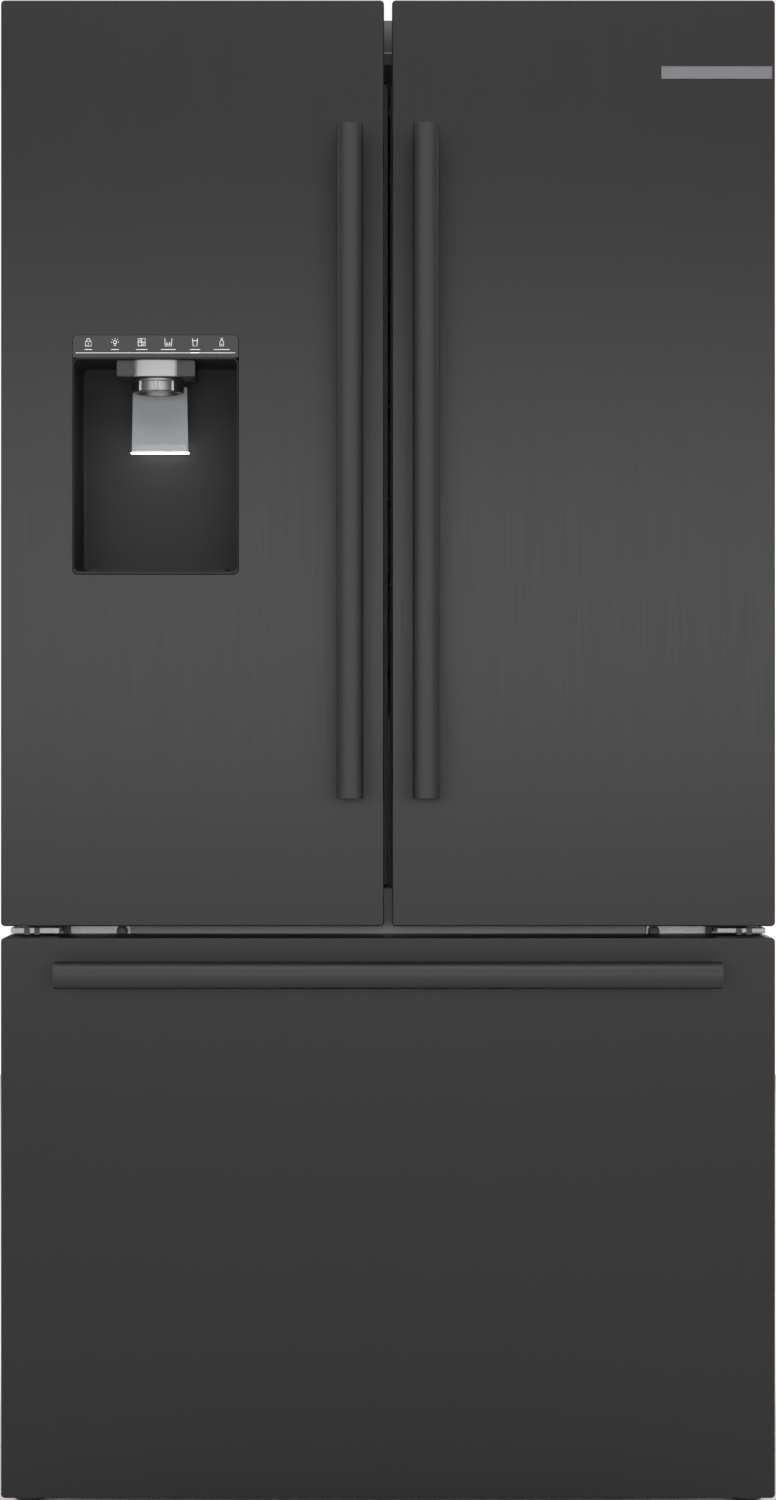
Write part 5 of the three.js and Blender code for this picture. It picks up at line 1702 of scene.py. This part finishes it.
@dataclass
class FreezerDrawer:
    """The freezer drawer: front, inner panel, seal, handle, slides, basket and upper tray."""

    body: str = "freezer_drawer"
    swell_end: float = 70 * MM  # raised field on the inner panel, from its sides
    swell_rise: Span = (90 * MM, 60 * MM)  # the same from its foot and from its top
    swell_proud: float = 6 * MM
    basket_flange: float = 12.5 * MM  # tub's side to the part's side
    tray_flange: float = 27 * MM
    tray_hang: float = 4.3 * MM  # the tray's flanges above the outer rails
    flange_sheet: float = 3.4 * MM

    def build(self, nodes: dict[str, bpy.types.Object]) -> None:
        """Builds the drawer and the tray above it.

        Args:
            nodes: The frame's parts by name.
        """
        FormedFront("drawer_skin", self.body).build()
        box = Box.of("drawer_liner")
        height = (box.z[0] + self.swell_rise[0], box.z[1] - self.swell_rise[1])
        panel = MeshDraft()
        panel.slab(Plane.FRONT, box.x, box.z, box.y, corner=3 * MM, edge=1.5 * MM)
        panel.slab(
            Plane.FRONT, grown(box.x, -self.swell_end), height,
            (box.y[1] - 4 * MM, box.y[1] + self.swell_proud), corner=22 * MM, edge=5 * MM, steps=5,
        )
        panel.piece("drawer_inner_panel", Look.LINER_POLYSTYRENE, self.body, ["drawer_liner"])
        DoorSeal("drawer_gasket", self.body).build()
        BarHandle("drawer_handle", self.body, upright=False).build()
        Dressing("drawer_carrier", Look.BRIGHT_ZINC, 1 * MM).apply(nodes)
        for side in Side:
            Dressing(f"{side.word}_outer_rail", Look.BRIGHT_ZINC, 0.8 * MM).apply(nodes)
        Dressing("freezer_liner", Look.LINER_POLYSTYRENE, 1.2 * MM, 3).apply(nodes)
        self.tub("freezer_basket", self.body, self.basket_flange, Box.of("freezer_basket").z[1])
        hang = Box.of("left_outer_rail").z[1] + self.tray_hang
        self.tub("freezer_tray", "freezer_tray", self.tray_flange, hang)

    def tub(self, node: str, body: str, flange: float, top: float) -> None:
        """A moulded tub with flanges that hang on the slides.

        Args:
            node: The part that it stands for.
            body: The body that it rides on.
            flange: From the tub's sides to the flanges' outer edges.
            top: Height of the flanges' tops.
        """
        box = Box.of(node)
        width = grown(box.x, -flange)
        OpenBin(node, body, corner=26 * MM, wall=3 * MM, rim=4 * MM).build(Box(width, box.y, box.z))
        draft = MeshDraft()
        for side in Side:
            span = ordered(side.value * (width[1] - 4 * MM), side.value * box.x[1])
            height = (top - self.flange_sheet, top)
            draft.slab(Plane.PLAN, span, grown(box.y, -12 * MM), height, corner=2 * MM)
        draft.piece(f"{node}_flanges", Look.CLEAR_POLYSTYRENE, body)


# ---- Case, hinges and running gear -------------------------------------------------------


@dataclass
class Case:
    """The outer case with its hinges, trims, back and foot."""

    screw: float = 4.2 * MM  # radius of a screw's head
    screw_out: float = 2.2 * MM  # its height
    bolt_place: tuple[float, float] = (9.5 * MM, 7 * MM)  # bolt from the hinge's inner end and its foot
    block_reach: Span = (71.5 * MM, 79.5 * MM)  # block from the hinge's inner end
    block_rise: Span = (1 * MM, 18 * MM)  # block above the hinge's foot
    arm_rise: float = 14 * MM  # top of the hinge's arm above its foot
    pin_place: tuple[float, float] = (15.5 * MM, 41.7 * MM)  # pin from the hinge's outer end and its back
    mark_places: Span = (19 * MM, 31 * MM)  # marks on the arm, from the hinge's outer end
    mark_half: float = 3.4 * MM
    guide_half: float = 6.5 * MM
    guide_rise: Span = (1.5 * MM, 23 * MM)  # guide above the mullion
    lip: float = 6.5 * MM  # height of the lip under the top trim
    strip: float = 1.3 * MM  # height of the white strip under the lip, a painted highlight
    beads: int = 5
    bead_half: float = 9 * MM

    def build(self, nodes: dict[str, bpy.types.Object]) -> None:
        """Dresses the case's parts and adds their fasteners.

        Args:
            nodes: The frame's parts by name.
        """
        plain = [
            Dressing("cabinet_wrapper", Look.POWDER_COAT, 0.9 * MM, 3),
            # The rail's pale coat is painted light in the gap between the doors and the drawer.
            Dressing("center_rail", Look.RAIL_COAT, 0.7 * MM),
            Dressing("top_trim", Look.GREY_ABS, 1.0 * MM, 3),
            Dressing("back_panel", Look.ZINC_SHEET, 0.6 * MM),
            Dressing("machine_cover", Look.ZINC_SHEET, 0.4 * MM),
            Dressing("cabinet_foam", Look.RIGID_FOAM, 1.0 * MM),
            Dressing("base_frame", Look.ZINC_SHEET, 0.6 * MM),
            Dressing("toe_grille", Look.BLACK_ABS, 0.8 * MM),
            Dressing("mullion", Look.GREY_ABS, 1.2 * MM, 3),
        ]
        for side in Side:
            plain.append(Dressing(f"{side.word}_top_hinge", Look.BRIGHT_ZINC, 0.8 * MM))
            plain.append(Dressing(f"{side.word}_center_hinge", Look.BRIGHT_ZINC, 0.8 * MM))
            plain.append(Dressing(f"{side.word}_hinge_cover", Look.GREY_ABS, 1.4 * MM, 3))
        for dressing in plain:
            dressing.apply(nodes)
        self.hinge_bolts()
        self.cover_screws()
        self.mullion_guide()
        self.trim_edge()
        self.back_beads()

    def hinge_bolts(self) -> None:
        """On each middle hinge a bolt head, a block, two dark marks on its arm and a washer on its pin."""
        draft = MeshDraft()
        for side in Side:
            hinge = Box.of(f"{side.word}_center_hinge")
            inner, outer = abs(side.inner(hinge.x)), abs(side.outer(hinge.x))
            foot, seat = hinge.z[0], hinge.y[1] - 3 * MM
            along, rise = self.bolt_place
            draft.hex_bolt(Plane.FRONT, (side.value * (inner + along), foot + rise), seat, 10 * MM, -4.5 * MM)
            block = ordered(*(side.value * (inner + reach) for reach in self.block_reach))
            height = (foot + self.block_rise[0], foot + self.block_rise[1])
            draft.slab(Plane.FRONT, block, height, (seat - 7 * MM, seat), corner=1.5 * MM)
            arm_top = foot + self.arm_rise
            for place in self.mark_places:
                draft.slab(
                    Plane.FRONT, around(side.value * (outer - place), self.mark_half),
                    (foot + 6 * MM, arm_top), (hinge.y[0] - 0.5 * MM, hinge.y[0]), corner=1 * MM,
                    edge=0.2 * MM,
                )
            washer = [(5.4, 0.0), (10.6, 0.0), (10.6, 0.8), (8.2, 1.2), (8.2, 3.2), (5.4, 3.2)]
            axis = (side.value * (outer - self.pin_place[0]), hinge.y[1] - self.pin_place[1])
            draft.turned(Plane.PLAN, axis, [(a * MM, arm_top + b * MM) for a, b in washer], closed=True)
        draft.piece("hinge_bolts", Look.BLACK_PHOSPHATE, "cabinet")

    def cover_screws(self) -> None:
        """Screws on the hinge covers, the back panel and the machine cover."""
        draft = MeshDraft()
        for side in Side:
            cover = Box.of(f"{side.word}_hinge_cover")
            for share in (0.45, 0.85):
                y = cover.y[0] + share * (cover.y[1] - cover.y[0])
                draft.pan_screw(Plane.PLAN, (middle(cover.x), y), cover.z[1], self.screw, self.screw_out)
        panel, cover = Box.of("back_panel"), Box.of("machine_cover")
        places = [
            (share * panel.x[1], z) for share in (-0.92, -0.46, 0.0, 0.46, 0.92)
            for z in (panel.z[1] - 12 * MM, panel.z[0] + 12 * MM, cover.z[0] + 10 * MM)
        ]
        places += [
            (side.value * (panel.x[1] - 10 * MM), panel.z[0] + share * (panel.z[1] - panel.z[0]))
            for share in (0.25, 0.5, 0.75) for side in Side
        ]
        for place in places:
            draft.pan_screw(Plane.FRONT, place, panel.y[1], self.screw, self.screw_out)
        draft.piece("case_screws", Look.BLACK_PHOSPHATE, "cabinet")

    def mullion_guide(self) -> None:
        """The guide over the mullion's end, in the darker ABS that paints in the shade of the gap."""
        face, top = Box.of("cabinet_wrapper").y[0], Box.of("mullion").z[1]
        draft = MeshDraft()
        draft.slab(
            Plane.FRONT, around(0.0, self.guide_half), (top + self.guide_rise[0], top + self.guide_rise[1]),
            (face - 2.4 * MM, face), corner=3 * MM, edge=0.8 * MM,
        )
        draft.piece("mullion_guide", Look.NICHE_ABS, "cabinet")

    def trim_edge(self) -> None:
        """The lip under the top trim, and a thin white strip under the lip that paints in the highlight along
        its edge.
        """
        face, trim = Box.of("cabinet_wrapper").y[0], Box.of("top_trim")
        seam = trim.z[0] - self.lip
        lip = MeshDraft()
        lip.slab(
            Plane.FRONT, trim.x, (seam, trim.z[0]), (face - 1.4 * MM, face), corner=1 * MM, edge=0.3 * MM
        )
        lip.piece("top_trim_lip", Look.GREY_ABS, "cabinet")
        strip = MeshDraft()
        strip.slab(
            Plane.FRONT, trim.x, (seam - self.strip, seam), (face - 1.2 * MM, face), corner=TINY,
            edge=0.1 * MM,
        )
        strip.piece("top_trim_strip", Look.LINER_POLYSTYRENE, "cabinet")

    def back_beads(self) -> None:
        """Pressed stiffening beads across the back."""
        panel = Box.of("back_panel")
        width, depth = grown(panel.x, -70 * MM), (panel.y[1] - 1 * MM, panel.y[1] + 2.5 * MM)
        draft = MeshDraft()
        for step in range(self.beads):
            z = panel.z[0] + (step + 0.5) / self.beads * (panel.z[1] - panel.z[0])
            draft.slab(
                Plane.FRONT, width, around(z, self.bead_half), depth, corner=self.bead_half, edge=2.4 * MM,
                steps=5,
            )
        draft.piece("back_beads", Look.ZINC_SHEET, "cabinet")


@dataclass
class MachineRoom:
    """Compressor, condenser coil, fan and copper lines behind the lower back cover."""

    tube: float = 3.2 * MM
    coil_rows: int = 6
    coil_rise: float = 62 * MM  # lowest row above the base frame's foot
    coil_reach: Span = (70 * MM, 220 * MM)  # coil from the fan's right side
    row_pitch: float = 22 * MM
    coil_bend: float = 9 * MM
    line_aside: float = 58 * MM  # line from the compressor's middle
    line_bend: float = 18 * MM
    line_fall: float = 110 * MM

    def build(self, nodes: dict[str, bpy.types.Object]) -> None:
        """Dresses the machine parts and adds the coil and lines.

        Args:
            nodes: The frame's parts by name.
        """
        Dressing("compressor", Look.BLACK_ENAMEL, 2.0 * MM, 3).apply(nodes)
        Dressing("condenser_fan", Look.BLACK_ABS, 0.5 * MM).apply(nodes)
        self.coil()
        self.lines()

    def coil(self) -> None:
        """The condenser: one tube going back and forth, stacked in rows."""
        fan = Box.of("condenser_fan")
        base = Box.of("base_frame").z[0] + self.coil_rise
        near, far = fan.x[1] + self.coil_reach[0], fan.x[1] + self.coil_reach[1]
        y = middle(fan.y)
        path: list[Vector] = []
        for row in range(self.coil_rows):
            z = base + row * self.row_pitch
            start, end = (near, far) if row % 2 == 0 else (far, near)
            bend = end + math.copysign(self.coil_bend, end - start)
            path += [Vector((start, y, z)), Vector((end, y, z)), Vector((bend, y, z + self.row_pitch / 2))]
        draft = MeshDraft()
        draft.tube(path, self.tube, 10)
        draft.piece("condenser_coil", Look.BLACK_ENAMEL, "cabinet")

    def lines(self) -> None:
        """The copper line from the compressor, over a bend and down."""
        box = Box.of("compressor")
        start = Vector((middle(box.x) + self.line_aside, middle(box.y), box.z[1] - 3 * MM))
        bend, turns = self.line_bend, [math.pi * step / 8 for step in range(9)]
        loop = [start + Vector((bend * (1 - math.cos(t)), 0, bend * math.sin(t))) for t in turns]
        loop.append(loop[-1] + Vector((0, 0, -self.line_fall)))
        draft = MeshDraft()
        draft.tube([start + Vector((0, 0, -8 * MM)), *loop], self.tube, 10)
        draft.piece("refrigerant_line", Look.COPPER, "cabinet")


@dataclass
class RunningGear:
    """Levelling feet and rear rollers."""

    def build(self, nodes: dict[str, bpy.types.Object]) -> None:
        """Dresses the feet and the rollers.

        Args:
            nodes: The frame's parts by name.
        """
        for side in Side:
            Dressing(f"{side.word}_foot", Look.BLACK_POLYPROPYLENE, 0.8 * MM).apply(nodes)
            Dressing(f"{side.word}_rear_roller", Look.BLACK_POLYPROPYLENE, 1.2 * MM, 3).apply(nodes)


@dataclass
class BlankPlate:
    """Small satin plate on the right door, left blank, with a fine raised border."""

    border: float = 1.0 * MM
    corner: float = 0.6 * MM
    field: float = 0.3 * MM  # how far the plate lies behind its border

    def build(self) -> None:
        """Builds the plate."""
        box = Box.of("name_plate")
        face, foot = box.y[0], box.y[0] + 0.4 * MM
        draft = MeshDraft()
        depth = (face + self.field, box.y[1])
        draft.slab(Plane.FRONT, box.x, box.z, depth, corner=self.corner, edge=0.25 * MM)
        section = [(0.15 * MM, foot), (0.3 * MM, face), (self.border, face), (self.border + 0.2 * MM, foot)]
        draft.ring(Plane.FRONT, box.x, box.z, self.corner, section)
        draft.piece("blank_plate", Look.SATIN_NICKEL, "right_door", ["name_plate"])


# ---- Studio ------------------------------------------------------------------------------


@dataclass
class SoftBox:
    """A rectangular lamp that the camera doesn't see."""

    name: str
    place: tuple[float, float, float]
    aim: tuple[float, float, float]
    width: float
    height: float
    power: float

    def build(self) -> None:
        """Adds the lamp, turned towards its aim."""
        lamp = bpy.data.lights.new(self.name, "AREA")
        lamp.shape = "RECTANGLE"
        lamp.size, lamp.size_y = self.width, self.height
        lamp.energy = self.power
        holder = bpy.data.objects.new(self.name, lamp)
        bpy.context.scene.collection.objects.link(holder)
        holder.location = self.place
        holder.rotation_euler = (Vector(self.aim) - Vector(self.place)).to_track_quat("-Z", "Y").to_euler()
        holder.visible_camera = False


@dataclass
class Studio:
    """Pale floor, white surround, soft lamps and a level camera in front."""

    distance: float = 3.8  # camera to the doors' front
    eye: float = 0.9005  # camera height
    frame_height: float = 1.7552  # what the camera takes in at the doors' front
    sensor: float = 36.0
    surround: float = 0.26  # strength of the room's light
    floor_radius: float = 5.0

    def camera(self) -> None:
        """Sets the camera straight in front of the doors."""
        front = Box.of("left_door_skin").y[0]
        lens = bpy.data.cameras.new("front_camera")
        lens.sensor_width = self.sensor
        lens.lens = self.sensor * self.distance / self.frame_height
        lens.clip_end = 100
        camera = bpy.data.objects.new("front_camera", lens)
        bpy.context.scene.collection.objects.link(camera)
        camera.location = (0, front - self.distance, self.eye)
        camera.rotation_euler = (math.pi / 2, 0, 0)
        bpy.context.scene.camera = camera

    def world(self) -> None:
        """White behind the object, a softer grey for what lights and reflects in it."""
        world = bpy.data.worlds.new("white_room")
        world.use_nodes = True
        tree = world.node_tree
        tree.nodes.clear()
        seen = add_node(tree, "ShaderNodeBackground", {"Color": (1, 1, 1, 1), "Strength": 1.0})
        lit = add_node(tree, "ShaderNodeBackground", {"Color": (1, 1, 1, 1), "Strength": self.surround})
        ray = add_node(tree, "ShaderNodeLightPath")
        links = {0: ray.outputs["Is Camera Ray"], 1: lit.outputs[0], 2: seen.outputs[0]}
        mix = add_node(tree, "ShaderNodeMixShader", None, links)
        add_node(tree, "ShaderNodeOutputWorld", None, {"Surface": mix.outputs[0]})
        bpy.context.scene.world = world

    def floor(self) -> None:
        """A wide pale floor with a faint mottling."""
        draft = MeshDraft()
        draft.turned(Plane.PLAN, (0, 0), [(self.floor_radius, -0.02), (self.floor_radius, -0.0004)], 96)
        floor = bpy.data.objects.new("studio_floor", draft.to_mesh("studio_floor"))
        bpy.context.scene.collection.objects.link(floor)
        finish = Finish("matt_pale_floor", "#f5f5f4", 0.7, 0.0, (60.0, 60.0, 60.0), 0.02, 0.05, 0.01)
        floor.data.materials.append(finish.build())

    def build(self) -> None:
        """Builds the studio."""
        self.camera()
        self.world()
        self.floor()
        boxes = [
            SoftBox("front_box", (0, -6.2, 1.36), (0, -0.3, 1.1), 9.0, 1.3, 158),
            SoftBox("left_box", (-4.5, 0.4, 2.2), (-0.3, 0, 0.9), 2.6, 2.4, 80),
            SoftBox("right_box", (4.5, 0.4, 2.2), (0.3, 0, 0.9), 2.6, 2.4, 80),
            SoftBox("high_box", (0, -4.0, 4.1), (0, -0.3, 0.9), 4.0, 1.8, 115),
            SoftBox("top_box", (0, 0.6, 4.2), (0, 0.2, 1.0), 3.0, 2.4, 60),
            SoftBox("rear_box", (0.8, 4.5, 2.2), (0, 0.4, 0.9), 3.0, 2.4, 40),
        ]
        for box in boxes:
            box.build()
        scene = bpy.context.scene
        scene.view_settings.view_transform = "Standard"
        scene.view_settings.look = "None"


# ---- Assembly ----------------------------------------------------------------------------


def corners(box: tuple[Vector, Vector]) -> list[list[float]]:
    """A box's two corners as plain lists."""
    return [list(map(float, corner)) for corner in box]


def main() -> None:
    """Loads the frame and builds every piece on it."""
    logging.basicConfig(level=logging.INFO, format="%(name)s: %(message)s")
    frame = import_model()
    nodes = frame["nodes"]
    Studio().build()
    for side in Side:
        FridgeDoor(side).build()
    Dispenser().build()
    FreezerDrawer().build(nodes)
    FoodRoom().build(nodes)
    DoorInsides().build()
    Case().build(nodes)
    MachineRoom().build(nodes)
    RunningGear().build(nodes)
    BlankPlate().build()


if __name__ == "__main__":
    main()
